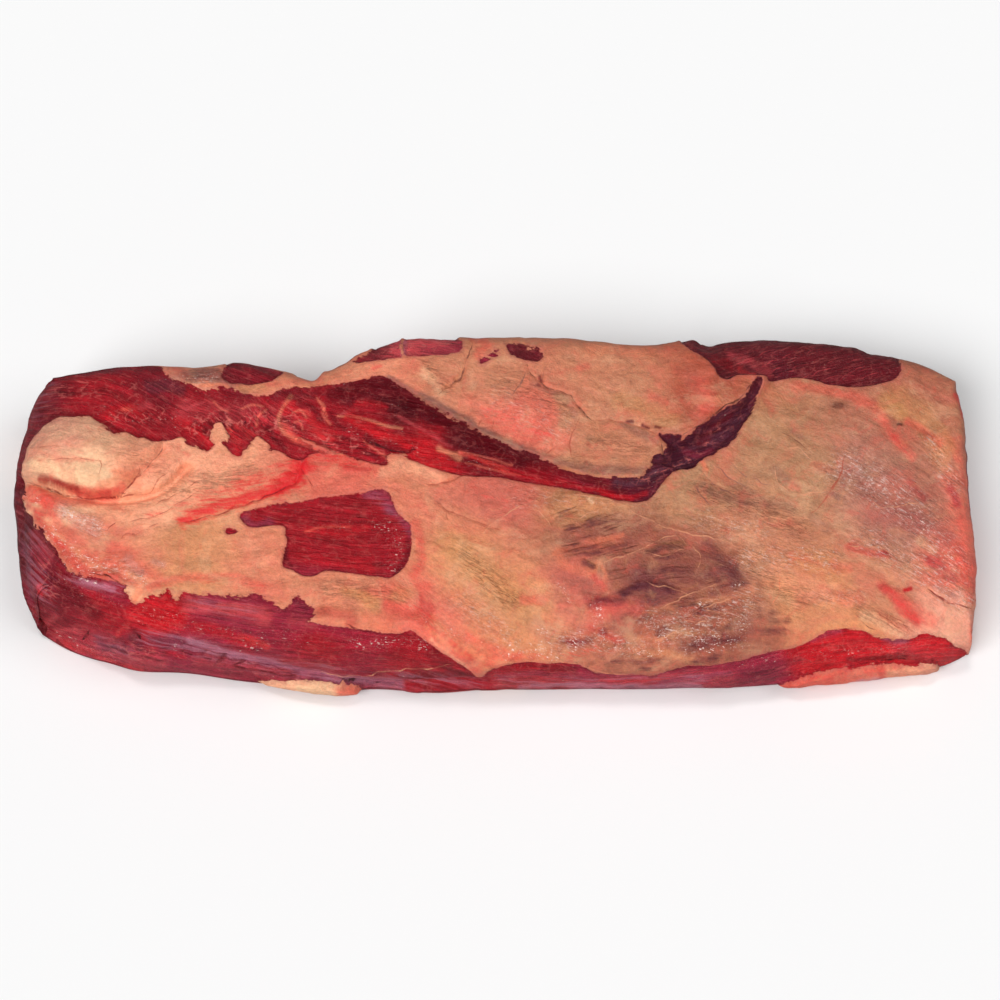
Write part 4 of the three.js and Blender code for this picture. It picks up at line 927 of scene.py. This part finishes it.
def read_grid(grid, places):
    column = np.clip((places[:, 0] - GRID_LEFT) / GRID_STEP, 0, grid.shape[1] - 1.001)
    row = np.clip((places[:, 1] - GRID_TOP) / GRID_STEP, 0, grid.shape[0] - 1.001)
    i, j = row.astype(int), column.astype(int)
    p, q = row - i, column - j
    upper = grid[i, j] * (1 - q) + grid[i, j + 1] * q
    lower = grid[i + 1, j] * (1 - q) + grid[i + 1, j + 1] * q
    return upper * (1 - p) + lower * p


# Where lean and fat lie, and the relief that they make


def unevenness(points):
    x, y, z = points.T
    broad = (
        np.sin(x / 31 + y / 47 + 0.6) + np.sin(x / 17 - y / 26 + z / 14) * 0.6
        + np.sin(x / 53 - z / 19 + 2.1) * np.sin(y / 21 + 0.4)
        + np.sin(x / 9.5 + z / 8 + 1.3) * np.sin(y / 15 - z / 11) * 0.4
    )
    return 1.1 * broad


def lean_on_view(places):
    """Millimetres inside the lean, as the view shows it."""
    ragged = (0.5 + 2.6 * stroked(places, RAGGED)) * layered_noise(places, 12, 3, 3)
    depth = np.max([depth_inside(places, outline) for outline in LEAN_REGIONS], axis=0) + ragged
    for outline in BOTTOM_LEDGES:
        depth = np.minimum(depth, -depth_inside(places, outline))
    for line, half_width in FAT_STRIPS:
        near, gap, _, along = path_reading(places, smooth_path(line), 20)
        taper = np.sqrt(np.clip(4 * along * (1 - along), 0, 1))
        width = half_width * taper * (1 + 0.4 * noise(places[near], 6, 11))
        depth[near] = np.minimum(depth[near], 0.6 * (gap - width) * VIEW_UNIT)
    return np.clip(depth, -LEAN_LIMIT, LEAN_LIMIT)


def lean_out_of_sight(points, height_share):
    """Millimetres inside the lean on the far side, the ends and the underside."""
    wave = layered_noise(points * (0.5, 0.5, 1), 16, 21, 3)
    cap = (0.88 - height_share) * 55 + 7 * wave
    seam_height = 0.42 + 0.07 * np.sin(points[:, 0] / 60) + 0.03 * wave
    seam = np.abs(height_share - seam_height) * 55 - 1.6 - 1.6 * noise(points, 22, 23)
    bent = points + 12 * np.column_stack([noise(points, 24, seed) for seed in (28, 29, 30)])
    patch = 6 * (0.42 - layered_noise(bent, 46, 27, 3) * 1.5)
    return np.clip(np.min([cap, seam, patch], axis=0), -LEAN_LIMIT, LEAN_LIMIT)


def line_reliefs(places):
    """Offset from the nearest line, its half width and colour for the material, and all lines' relief."""
    offset = np.full(len(places), 9.0)
    width = np.zeros(len(places))
    tint = np.zeros((len(places), 3))
    relief = np.zeros(len(places))
    wander = 1.4 * np.column_stack([noise(places, 7, 41), noise(places, 7, 43)])
    for colour, half_width, height, line in LINES:
        near, gap, side, along = path_reading(places + wander, smooth_path(line), 14)
        taper = np.clip(6 * along * (1 - along), 0, 1) ** 0.7 * (0.8 + 0.6 * noise(places[near], 8, 47))
        gap = gap * VIEW_UNIT
        closer = gap < np.abs(offset[near])
        offset[near] = np.where(closer, gap * side, offset[near])
        width[near] = np.where(closer, half_width * taper, width[near])
        tint[near] = np.where(closer[:, None], linear(colour), tint[near])
        relief[near] += height * taper * np.exp(-((gap / (0.7 + half_width)) ** 2))
    return offset, width, tint, relief


def large_relief(places):
    """The layers, folds and dips of the side that the view shows, in millimetres."""
    warped = places + 2.5 * np.column_stack([noise(places, 18, 51), noise(places, 18, 53)])
    layer = smoothstep(depth_inside(warped, UPPER_LAYER), -11, 1)
    fold = smoothstep(depth_inside(places, FAT_FOLD), -1, 17) ** 0.55
    near_muscle = smoothstep(depth_inside(places, NEAR_MUSCLE), -2, 9)
    dip = smoothstep(depth_inside(places, LEFT_DIP), -9, 9)
    ledges = np.max([smoothstep(depth_inside(places, o), -1, 3) for o in BOTTOM_LEDGES], axis=0)
    relief = LAYER_HEIGHT * layer + FOLD_HEIGHT * fold + NEAR_MUSCLE_HEIGHT * near_muscle
    relief = relief + LEDGE_HEIGHT * ledges - DIP_DEPTH * dip
    for line, depth, half_width in ((FOLD_CREASE, 6, 3.6), (NEAR_SEAM, 4, 4)):
        near, gap, _, _ = path_reading(places, smooth_path(line), 30)
        relief[near] -= depth * np.exp(-((gap * VIEW_UNIT / half_width) ** 2))
    return relief


def seen_relief(places, lean, lean_grain, fat_grain, line_relief):
    """Relief on the side that the view shows, in millimetres."""
    sunk = smoothstep(lean, -0.6, 1.0)
    strands = layered_noise(np.column_stack([lean_grain[0], lean_grain[1] / 10]), 2.6, 61, 2)
    folds = layered_noise(np.column_stack([fat_grain[0], fat_grain[1] / 4]), 6, 67, 3)
    lumps = layered_noise(places, 14, 71, 3)
    lumpy = stroked(places, LUMPY)
    gap = GAP_DEPTH * smoothstep(depth_inside(places, DARK_GAP), 0, 5)
    return (
        large_relief(places) - gap - LEAN_DEPTH * sunk + sunk * (0.6 * strands + 0.8 * lumps)
        + (1 - sunk) * (0.8 * folds + 0.6 * lumps) + 2.6 * lumpy * layered_noise(places, 9, 73, 2)
        + line_relief
    )


# Building the mesh


def to_mesh(name, points, quads):
    mesh = bpy.data.meshes.new(name)
    mesh.vertices.add(len(points))
    mesh.vertices.foreach_set("co", points.astype(np.float32).ravel())
    mesh.loops.add(quads.size)
    mesh.loops.foreach_set("vertex_index", quads.astype(np.int32).ravel())
    mesh.polygons.add(len(quads))
    mesh.polygons.foreach_set("loop_start", np.arange(0, quads.size, 4, dtype=np.int32))
    mesh.polygons.foreach_set("use_smooth", np.ones(len(quads), bool))
    mesh.update(calc_edges=True)
    mesh.validate()
    return mesh


def store(mesh, name, values):
    """Keeps a number, a vector or a colour for each point, for the material to read."""
    values = np.asarray(values, np.float32)
    if values.ndim == 1:
        mesh.attributes.new(name, "FLOAT", "POINT").data.foreach_set("value", values)
    else:
        mesh.attributes.new(name, "FLOAT_VECTOR", "POINT").data.foreach_set("vector", values.ravel())


def brisket_mesh():
    box, quads = box_lattice(SEGMENTS)
    slab = slab_points(box)
    normals = point_normals(slab, quads)
    facing = -(normals @ VIEW_FORWARD)
    uneven = unevenness(slab)
    seen = smoothstep(facing, 0, 0.2)
    places = on_view(slab)
    for _ in range(3):
        places = on_view(slab + normals * (seen * large_relief(places) + uneven)[:, None])
    height_share = slab[:, 2] / top_height(slab)

    wander = 5 * np.column_stack([layered_noise(places, 22, 81), layered_noise(places, 22, 83)])
    view_lean = lean_on_view(places)
    hidden_lean = lean_out_of_sight(slab, height_share)
    shown = smoothstep(facing, -0.02, 0.12) * (1 - smoothstep(normals[:, 0], 0.86, 0.96))
    lean = hidden_lean + (view_lean - hidden_lean) * shown
    lean_grain = grain_coordinates(places, LEAN_GRAIN)
    fat_grain = grain_coordinates(places, FAT_GRAIN)
    offset, width, line_tint, line_relief = line_reliefs(places)

    relief = seen * seen_relief(places, view_lean, lean_grain, fat_grain, line_relief)
    hidden_sunk = HIDDEN_LEAN_DEPTH * smoothstep(hidden_lean, -0.5, 1)
    hidden_relief = 0.8 * layered_noise(slab, 14, 91) - hidden_sunk
    rest = (1 - seen) * hidden_relief * smoothstep(slab[:, 2], 2, 8)
    points = slab + normals * (relief + rest + uneven)[:, None]
    points[:, 2] = np.maximum(points[:, 2], 0)

    in_sight = (facing > 0.04)[:, None]
    end = (np.abs(normals[:, 0]) > 0.7)[:, None]
    side_grain = np.where(end, slab[:, [2, 1]], np.column_stack([slab[:, 2] + slab[:, 1], slab[:, 0]]))
    lean_flow = np.where(in_sight, np.column_stack(lean_grain), side_grain)
    fat_flow = np.where(in_sight, np.column_stack(fat_grain), side_grain)
    third = np.zeros((len(slab), 1))

    middle = (points.max(0) + points.min(0)) / 2
    middle[2] = 0
    mesh = to_mesh("brisket_meat", (points - middle) / MILLIMETRES, quads)
    store(mesh, "lean", lean)
    store(mesh, "lean_flow", np.hstack([lean_flow, third]))
    store(mesh, "fat_flow", np.hstack([fat_flow, third]))
    spots = places + wander / 2
    fat_noise = layered_noise(np.column_stack([fat_grain[0], fat_grain[1] / 2.5]), 4, 101, 3)
    lean_noise = layered_noise(np.column_stack([lean_grain[0], lean_grain[1] / 3]), 4, 103, 3)
    fat_base = zone_colours(places + wander, FAT_ZONES, 12)
    lean_base = zone_colours(places + wander, LEAN_ZONES, 7)
    store(mesh, "fat_tint", painted(spots, fat_base, fat_noise, FAT_STROKES))
    store(mesh, "lean_tint", painted(spots, lean_base, lean_noise, LEAN_STROKES))
    store(mesh, "blood", stroked(spots, BLOOD_STAINS) * seen)
    veil = np.maximum(stroked(spots, VEILS), fibred(places + wander / 4, VEIL_STRIPES, FIBRE_SEED))
    store(mesh, "veil", veil * seen)
    store(mesh, "wrinkled", stroked(spots, WRINKLED) * seen)
    store(mesh, "silver", np.maximum(stroked(spots, SILVERED) * seen, 0.3 * (1 - seen)))
    store(mesh, "painted_sheen", stroked(spots, PAINTED_SHEEN) * seen)
    store(mesh, "wet_and_glints", np.maximum(stroked(spots, WET_AND_GLINTS) * seen, 0.15))
    store(mesh, "flecks", np.maximum(stroked(spots, FLECKED) * seen, 0.2))
    store(mesh, "ragged", np.maximum(stroked(places, RAGGED), 0.18))
    store(mesh, "line_offset", offset)
    store(mesh, "line_width", width * seen)
    store(mesh, "line_tint", line_tint)
    return mesh, middle


# The meat's material


class Nodes:
    """Short names for the node tree calls that the material needs."""

    def __init__(self, material):
        material.use_nodes = True
        self.tree = material.node_tree
        self.tree.nodes.clear()

    def node(self, kind, inputs=None, **settings):
        made = self.tree.nodes.new(kind)
        for name, value in settings.items():
            setattr(made, name, value)
        for name, value in (inputs or {}).items():
            self.feed(made.inputs[name], value)
        return made

    def feed(self, socket, value):
        if isinstance(value, bpy.types.NodeSocket):
            self.tree.links.new(value, socket)
        elif value is not None:
            socket.default_value = value

    def math(self, operation, a, b=None):
        made = self.node("ShaderNodeMath", operation=operation)
        self.feed(made.inputs[0], a)
        self.feed(made.inputs[1], b)
        return made.outputs[0]

    def add(self, a, b):
        return self.math("ADD", a, b)

    def times(self, a, b):
        return self.math("MULTIPLY", a, b)

    def number(self, name):
        return self.node("ShaderNodeAttribute", attribute_name=name).outputs["Fac"]

    def vector(self, name):
        return self.node("ShaderNodeAttribute", attribute_name=name).outputs["Vector"]

    def scaled(self, vector, scale):
        return self.node("ShaderNodeMapping", {"Vector": vector, "Scale": scale}).outputs["Vector"]

    def noise(self, vector, scale, detail=3.0, roughness=0.55, distortion=0.0):
        inputs = {
            "Vector": vector, "Scale": scale, "Detail": detail, "Roughness": roughness,
            "Distortion": distortion,
        }
        return self.node("ShaderNodeTexNoise", inputs).outputs["Fac"]

    def ramp(self, value, low, high, to_low=0.0, to_high=1.0):
        inputs = {
            "Value": value, "From Min": low, "From Max": high, "To Min": to_low, "To Max": to_high,
        }
        return self.node("ShaderNodeMapRange", inputs, interpolation_type="SMOOTHSTEP").outputs["Result"]

    def mix(self, share, a, b, blend="MIX"):
        made = self.node("ShaderNodeMix", data_type="RGBA", blend_type=blend)
        self.feed(made.inputs["Factor"], share)
        self.feed(made.inputs[6], colour_value(a))
        self.feed(made.inputs[7], colour_value(b))
        return made.outputs[2]

    def brighten(self, colour, factor):
        made = self.node("ShaderNodeVectorMath", operation="SCALE")
        self.feed(made.inputs[0], colour)
        self.feed(made.inputs["Scale"], factor)
        return made.outputs[0]

    def grain(self, flow, across, along, detail, roughness, distortion):
        """Noise drawn out along a grain."""
        return self.noise(self.scaled(flow, (across, along, 1)), 1.0, detail, roughness, distortion)

    def lines(self, noise_value, half_width):
        """Thin lines where a noise passes through its middle value."""
        gap = self.math("ABSOLUTE", self.math("SUBTRACT", noise_value, 0.5))
        return self.ramp(gap, 0.0, half_width, 1.0, 0.0)


def colour_value(colour):
    return (*linear(colour), 1.0) if isinstance(colour, tuple) else colour


def lean_colour(n, place, flow):
    """Bare muscle: fibres, dark lines of painted shade and pale flecks between them, silver skin and painted
    highlight spots where it is moist.
    """
    tint = n.vector("lean_tint")
    fibre = n.grain(flow, 0.62, 0.05, 5.0, 0.62, 0.3)
    bundle = n.grain(flow, 0.2, 0.02, 3.0, 0.55, 0.5)
    mottle = n.noise(place, 170.0, 4.0, 0.6)
    busy = n.ramp(n.number("flecks"), 0.15, 0.8, 0.62, 1.15)
    hairy = n.ramp(n.number("flecks"), 0.15, 0.7, 0.22, 1.0)
    shade = n.add(n.ramp(fibre, 0.34, 0.66, -0.3, 0.3), n.ramp(bundle, 0.35, 0.65, -0.16, 0.16))
    shade = n.add(shade, n.ramp(mottle, 0.35, 0.65, -0.18, 0.2))
    shade = n.add(n.times(shade, busy), 1.03)
    colour = n.brighten(tint, shade)
    # Painted shade: thin dark lines between the fibre bundles.
    fibre_gap_shade = n.lines(n.grain(flow, 0.36, 0.035, 4.0, 0.6, 0.5), 0.02)
    fibre_gap_shade = n.times(fibre_gap_shade, n.ramp(mottle, 0.4, 0.6, 0.1, 0.9))
    colour = n.mix(n.times(fibre_gap_shade, busy), colour, OXBLOOD)
    hairs = n.ramp(n.grain(flow, 0.8, 0.08, 4.0, 0.65, 0.4), 0.58, 0.68)
    hairs = n.times(hairs, n.ramp(mottle, 0.4, 0.6, 0.0, 0.55))
    colour = n.mix(n.times(hairs, hairy), colour, PALE_FIBRE)
    skin = n.ramp(n.grain(flow, 0.55, 0.035, 4.0, 0.65, 0.4), 0.46, 0.6)
    skin = n.times(skin, n.times(n.number("silver"), 0.5))
    colour = n.mix(skin, colour, SILVER_SKIN)
    streak = n.ramp(n.grain(flow, 0.5, 0.12, 4.0, 0.6, 0.5), 0.58, 0.66)
    warp = n.node("ShaderNodeTexNoise", {"Vector": place, "Scale": 90.0, "Detail": 4.0}).outputs["Color"]
    warped = n.node("ShaderNodeVectorMath", operation="MULTIPLY_ADD")
    n.feed(warped.inputs[0], warp)
    warped.inputs[1].default_value = (0.014, 0.014, 0.014)
    n.feed(warped.inputs[2], place)
    cells = n.node(
        "ShaderNodeTexVoronoi", {"Vector": warped.outputs[0], "Scale": 135.0}, feature="DISTANCE_TO_EDGE"
    )
    web = n.ramp(cells.outputs["Distance"], 0.0, 0.1, 1.0, 0.0)
    web = n.times(web, n.ramp(n.noise(place, 150.0), 0.44, 0.58, 0.0, 0.8))
    pale = n.times(n.math("MAXIMUM", streak, web), n.times(n.number("flecks"), 0.9))
    colour = n.mix(pale, colour, PALE_FIBRE)
    # Painted highlights: glint spots mixed into the muscle's colour.
    return n.mix(painted_glints(n, place, flow, 0.1, 0.06), colour, PAINTED_GLINT), fibre


def painted_glints(n, place, flow, least, curl):
    """Painted highlights: small spots of glint colour where the meat is moist, drawn out along the grain and
    more of them the wetter the place is.
    """
    wet_and_glints = n.add(n.number("wet_and_glints"), least)
    drawn_out = n.grain(flow, 1.1, 0.42, 2.0, 0.6, 0.5)
    curled = n.lines(n.noise(place, 260.0, 3.0, 0.6, 1.4), 0.03)
    spots = n.add(drawn_out, n.times(curled, curl))
    spots = n.add(spots, n.times(wet_and_glints, 0.15))
    spread = n.ramp(n.noise(place, 90.0, 2.0), 0.4, 0.58)
    spots = n.times(n.ramp(spots, 0.74, 0.88), spread)
    return n.times(spots, n.ramp(wet_and_glints, 0.08, 0.4))


def stained(n, colour, amount, streak, grain, stain, low, high, most):
    """Colour with a stain whose edge breaks up along the grain."""
    broken = n.add(amount, n.ramp(streak, 0.3, 0.7, -0.22, 0.22))
    broken = n.add(broken, n.ramp(grain, 0.3, 0.7, -0.16, 0.16))
    broken = n.times(n.ramp(broken, low, high, 0.0, most), n.ramp(amount, 0.02, 0.2))
    return n.mix(broken, colour, stain)


def fat_colour(n, place, flow):
    """The fat cap: streaks along its grain, blood, muscle showing through thin film, wrinkles with painted
    shade in them, painted highlight streaks and painted highlight spots.
    """
    tint = n.vector("fat_tint")
    streak = n.grain(flow, 0.45, 0.06, 5.0, 0.65, 0.5)
    fine = n.grain(flow, 0.8, 0.25, 4.0, 0.65, 0.6)
    mottle = n.noise(place, 110.0, 6.0, 0.62, 0.6)
    speck = n.noise(place, 480.0, 3.0, 0.6, 0.3)
    grainy = n.math("MAXIMUM", n.number("painted_sheen"), n.math("MAXIMUM", n.number("wrinkled"), n.number("veil")))
    streaks = n.times(n.ramp(streak, 0.3, 0.7, -0.2, 0.2), n.ramp(grainy, 0.0, 0.7, 0.3, 1.0))
    fines = n.times(n.ramp(fine, 0.3, 0.7, -0.18, 0.18), n.ramp(grainy, 0.0, 0.7, 0.36, 1.0))
    shade = n.add(n.add(streaks, fines), n.ramp(mottle, 0.3, 0.7, 0.87, 1.11))
    shade = n.add(shade, n.ramp(speck, 0.3, 0.7, -0.1, 0.1))
    colour = n.brighten(tint, shade)
    warm = n.noise(place, 36.0, 6.0, 0.68, 0.8)
    colour = n.mix(n.ramp(warm, 0.5, 0.7, 0.0, 0.4), colour, SALMON)
    colour = n.mix(n.ramp(warm, 0.5, 0.32, 0.0, 0.25), colour, CREAM)
    blotch = n.noise(place, 95.0, 5.0, 0.65, 0.9)
    colour = n.mix(n.ramp(blotch, 0.52, 0.7, 0.0, 0.28), colour, CORAL)
    colour = n.mix(n.ramp(blotch, 0.48, 0.32, 0.0, 0.25), colour, SAND)
    capillary = n.lines(n.grain(flow, 0.26, 0.12, 5.0, 0.65, 0.9), 0.01)
    capillary = n.times(capillary, n.ramp(n.noise(place, 34.0), 0.45, 0.62, 0.0, 0.6))
    colour = n.mix(capillary, colour, RUST)
    # Wrinkle lines: sunk in the bump, and darkened towards seam brown as painted shade in their creases.
    wrinkle = n.lines(n.grain(flow, 0.4, 0.06, 3.0, 0.55, 0.6), 0.035)
    wrinkle = n.times(wrinkle, n.number("wrinkled"))
    colour = n.mix(n.times(wrinkle, 0.28), colour, SEAM_BROWN)
    muscle = n.mix(n.ramp(mottle, 0.4, 0.6), VEIL_DARK, AUBERGINE)
    colour = stained(n, colour, n.number("veil"), streak, mottle, muscle, 0.05, 1.0, 0.75)
    colour = stained(n, colour, n.number("blood"), streak, fine, BLOOD, 0.2, 1.0, 0.9)
    # Painted highlight: pale streaks and curls of glint colour where those strokes lie.
    painted_sheen = n.ramp(n.grain(flow, 0.75, 0.16, 4.0, 0.65, 0.3), 0.55, 0.68, 0.0, 0.6)
    curled = n.lines(n.noise(place, 300.0, 3.0, 0.6, 1.4), 0.04)
    curled = n.times(curled, n.ramp(n.noise(place, 560.0, 2.0), 0.48, 0.62, 0.0, 0.6))
    painted_sheen = n.math("MAXIMUM", painted_sheen, curled)
    colour = n.mix(n.times(painted_sheen, n.number("painted_sheen")), colour, PAINTED_GLINT)
    # Painted highlights: glint spots mixed into the fat's colour.
    return n.mix(painted_glints(n, place, flow, 0.0, 0.13), colour, PAINTED_GLINT), mottle, fine, streak, wrinkle, grainy


def meat_material():
    material = bpy.data.materials.new("raw_meat")
    n = Nodes(material)
    place = n.node("ShaderNodeTexCoord").outputs["Object"]
    lean_flow, fat_flow = n.vector("lean_flow"), n.vector("fat_flow")
    fray = n.grain(lean_flow, 0.45, 0.12, 4.0, 0.65, 0.3)
    fray = n.times(n.ramp(fray, 0.25, 0.75, -2.2, 2.2), n.number("ragged"))
    crumbs = n.ramp(n.noise(place, 420.0), 0.25, 0.75, -0.3, 0.3)
    depth = n.add(n.add(n.number("lean"), fray), crumbs)
    lean_share = n.ramp(depth, -0.25, 0.25)

    lean, lean_fibre = lean_colour(n, place, lean_flow)
    fat, fat_mottle, fat_fine, fat_streak, wrinkle, grainy = fat_colour(n, place, fat_flow)
    # Along the edge between lean and fat, the fat takes a mauve tint, and the lean darkens towards maroon as
    # painted shade where it lies sunk below the fat.
    rim = n.add(depth, n.ramp(fat_mottle, 0.35, 0.65, -1.2, 1.2))
    fat = n.mix(n.ramp(rim, -1.8, -0.2, 0.0, 0.4), fat, MAUVE_FAT)
    lean = n.mix(n.ramp(rim, 0.2, 1.4, 0.4, 0.0), lean, MAROON)
    colour = n.mix(lean_share, fat, lean)
    gap = n.math("ABSOLUTE", n.number("line_offset"))
    line = n.ramp(n.math("SUBTRACT", n.number("line_width"), gap), -0.3, 0.15, 0.0, 0.85)
    line = n.times(line, n.ramp(n.noise(place, 150.0, 3.0, 0.6), 0.38, 0.6, 0.2, 1.0))
    colour = n.mix(line, colour, n.vector("line_tint"))

    grit = n.noise(place, 850.0, 3.0, 0.6)
    lean_height = n.add(n.times(lean_fibre, 1.2), n.times(grit, 0.5))
    fat_height = n.times(n.add(fat_fine, fat_streak), n.ramp(grainy, 0.0, 0.7, 0.12, 0.6))
    fat_height = n.add(fat_height, n.times(fat_mottle, 0.9))
    fat_height = n.add(fat_height, n.times(grit, 0.25))
    fat_height = n.math("SUBTRACT", fat_height, n.times(wrinkle, 0.3))
    height = n.node("ShaderNodeMix", data_type="FLOAT")
    n.feed(height.inputs[0], lean_share)
    n.feed(height.inputs[2], fat_height)
    n.feed(height.inputs[3], lean_height)
    bump = n.node("ShaderNodeBump", {"Height": height.outputs[0], "Strength": 1.0, "Distance": 0.0015})

    # Moisture lowers the roughness; the same amount sets the painted highlight spots.
    wet_and_glints = n.number("wet_and_glints")
    roughness = n.math("SUBTRACT", 0.38, n.times(wet_and_glints, 0.13))
    roughness = n.add(roughness, n.ramp(grit, 0.3, 0.7, -0.08, 0.08))
    shader = n.node(
        "ShaderNodeBsdfPrincipled",
        {
            "Base Color": colour,
            "Roughness": roughness,
            "Normal": bump.outputs["Normal"],
            "Subsurface Weight": 0.1,
            "Subsurface Radius": (1.0, 0.3, 0.2),
            "Subsurface Scale": 0.002,
            "Specular IOR Level": 0.5,
        },
    )
    output = n.node("ShaderNodeOutputMaterial")
    n.tree.links.new(shader.outputs[0], output.inputs["Surface"])
    return material


# The stage


# Name, direction, power, spread in degrees, and whether it shows in highlights.
SUNS = [
    ("front_light", (-0.75, -1.0, 1.2), 2.35, 35, False),
    ("side_light", (0.9, -0.2, 1.1), 1.1, 45, False),
    ("top_light", (-0.1, 0.1, 1.0), 0.55, 10, True),
]
WORLD_LIGHT = 0.12
FLOOR_SIZE = 8
FLOOR_WHITE = (0.9, 0.9, 0.9, 1)


def make_floor():
    bpy.ops.mesh.primitive_plane_add(size=FLOOR_SIZE)
    floor = bpy.context.object
    floor.name = "floor"
    material = bpy.data.materials.new("floor")
    n = Nodes(material)
    shader = n.node("ShaderNodeBsdfPrincipled", {"Base Color": FLOOR_WHITE, "Roughness": 0.9})
    output = n.node("ShaderNodeOutputMaterial")
    n.tree.links.new(shader.outputs[0], output.inputs["Surface"])
    floor.data.materials.append(material)
    floor.visible_glossy = False


def add_sun(name, place, power, spread, glossy):
    """A broad soft light that falls evenly on the whole stage."""
    light = bpy.data.lights.new(name, "SUN")
    light.energy = power
    light.angle = math.radians(spread)
    holder = bpy.data.objects.new(name, light)
    holder.rotation_euler = facing_rotation(place, (0, 0, 0))
    holder.visible_glossy = glossy
    bpy.context.scene.collection.objects.link(holder)


def facing_rotation(place, aim):
    direction = np.array(aim) - np.array(place)
    yaw = math.atan2(direction[1], direction[0]) - math.pi / 2
    pitch = math.atan2(math.hypot(direction[0], direction[1]), -direction[2])
    return (pitch, 0, yaw)


def add_lights():
    for sun in SUNS:
        add_sun(*sun)
    world = bpy.data.worlds.new("studio")
    world.use_nodes = True
    background = world.node_tree.nodes["Background"]
    background.inputs["Color"].default_value = (1, 1, 1, 1)
    background.inputs["Strength"].default_value = WORLD_LIGHT
    bpy.context.scene.world = world
    bpy.context.scene.view_settings.view_transform = "Standard"


def add_camera(middle):
    camera = bpy.data.cameras.new("camera")
    camera.sensor_fit = "HORIZONTAL"
    half_width = VIEW_MIDDLE * VIEW_UNIT
    camera.lens = camera.sensor_width / 2 * VIEW_DISTANCE / half_width
    holder = bpy.data.objects.new("camera", camera)
    holder.location = (VIEW_TARGET - middle - VIEW_FORWARD * VIEW_DISTANCE) / MILLIMETRES
    holder.rotation_euler = (math.pi / 2 - VIEW_ELEVATION, 0, 0)
    bpy.context.scene.collection.objects.link(holder)
    bpy.context.scene.camera = holder


mesh, middle = brisket_mesh()
meat = bpy.data.objects.new("brisket_meat", mesh)
bpy.context.scene.collection.objects.link(meat)
meat.data.materials.append(meat_material())
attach(meat, "root")
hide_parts("brisket")
make_floor()
add_lights()
add_camera(middle)
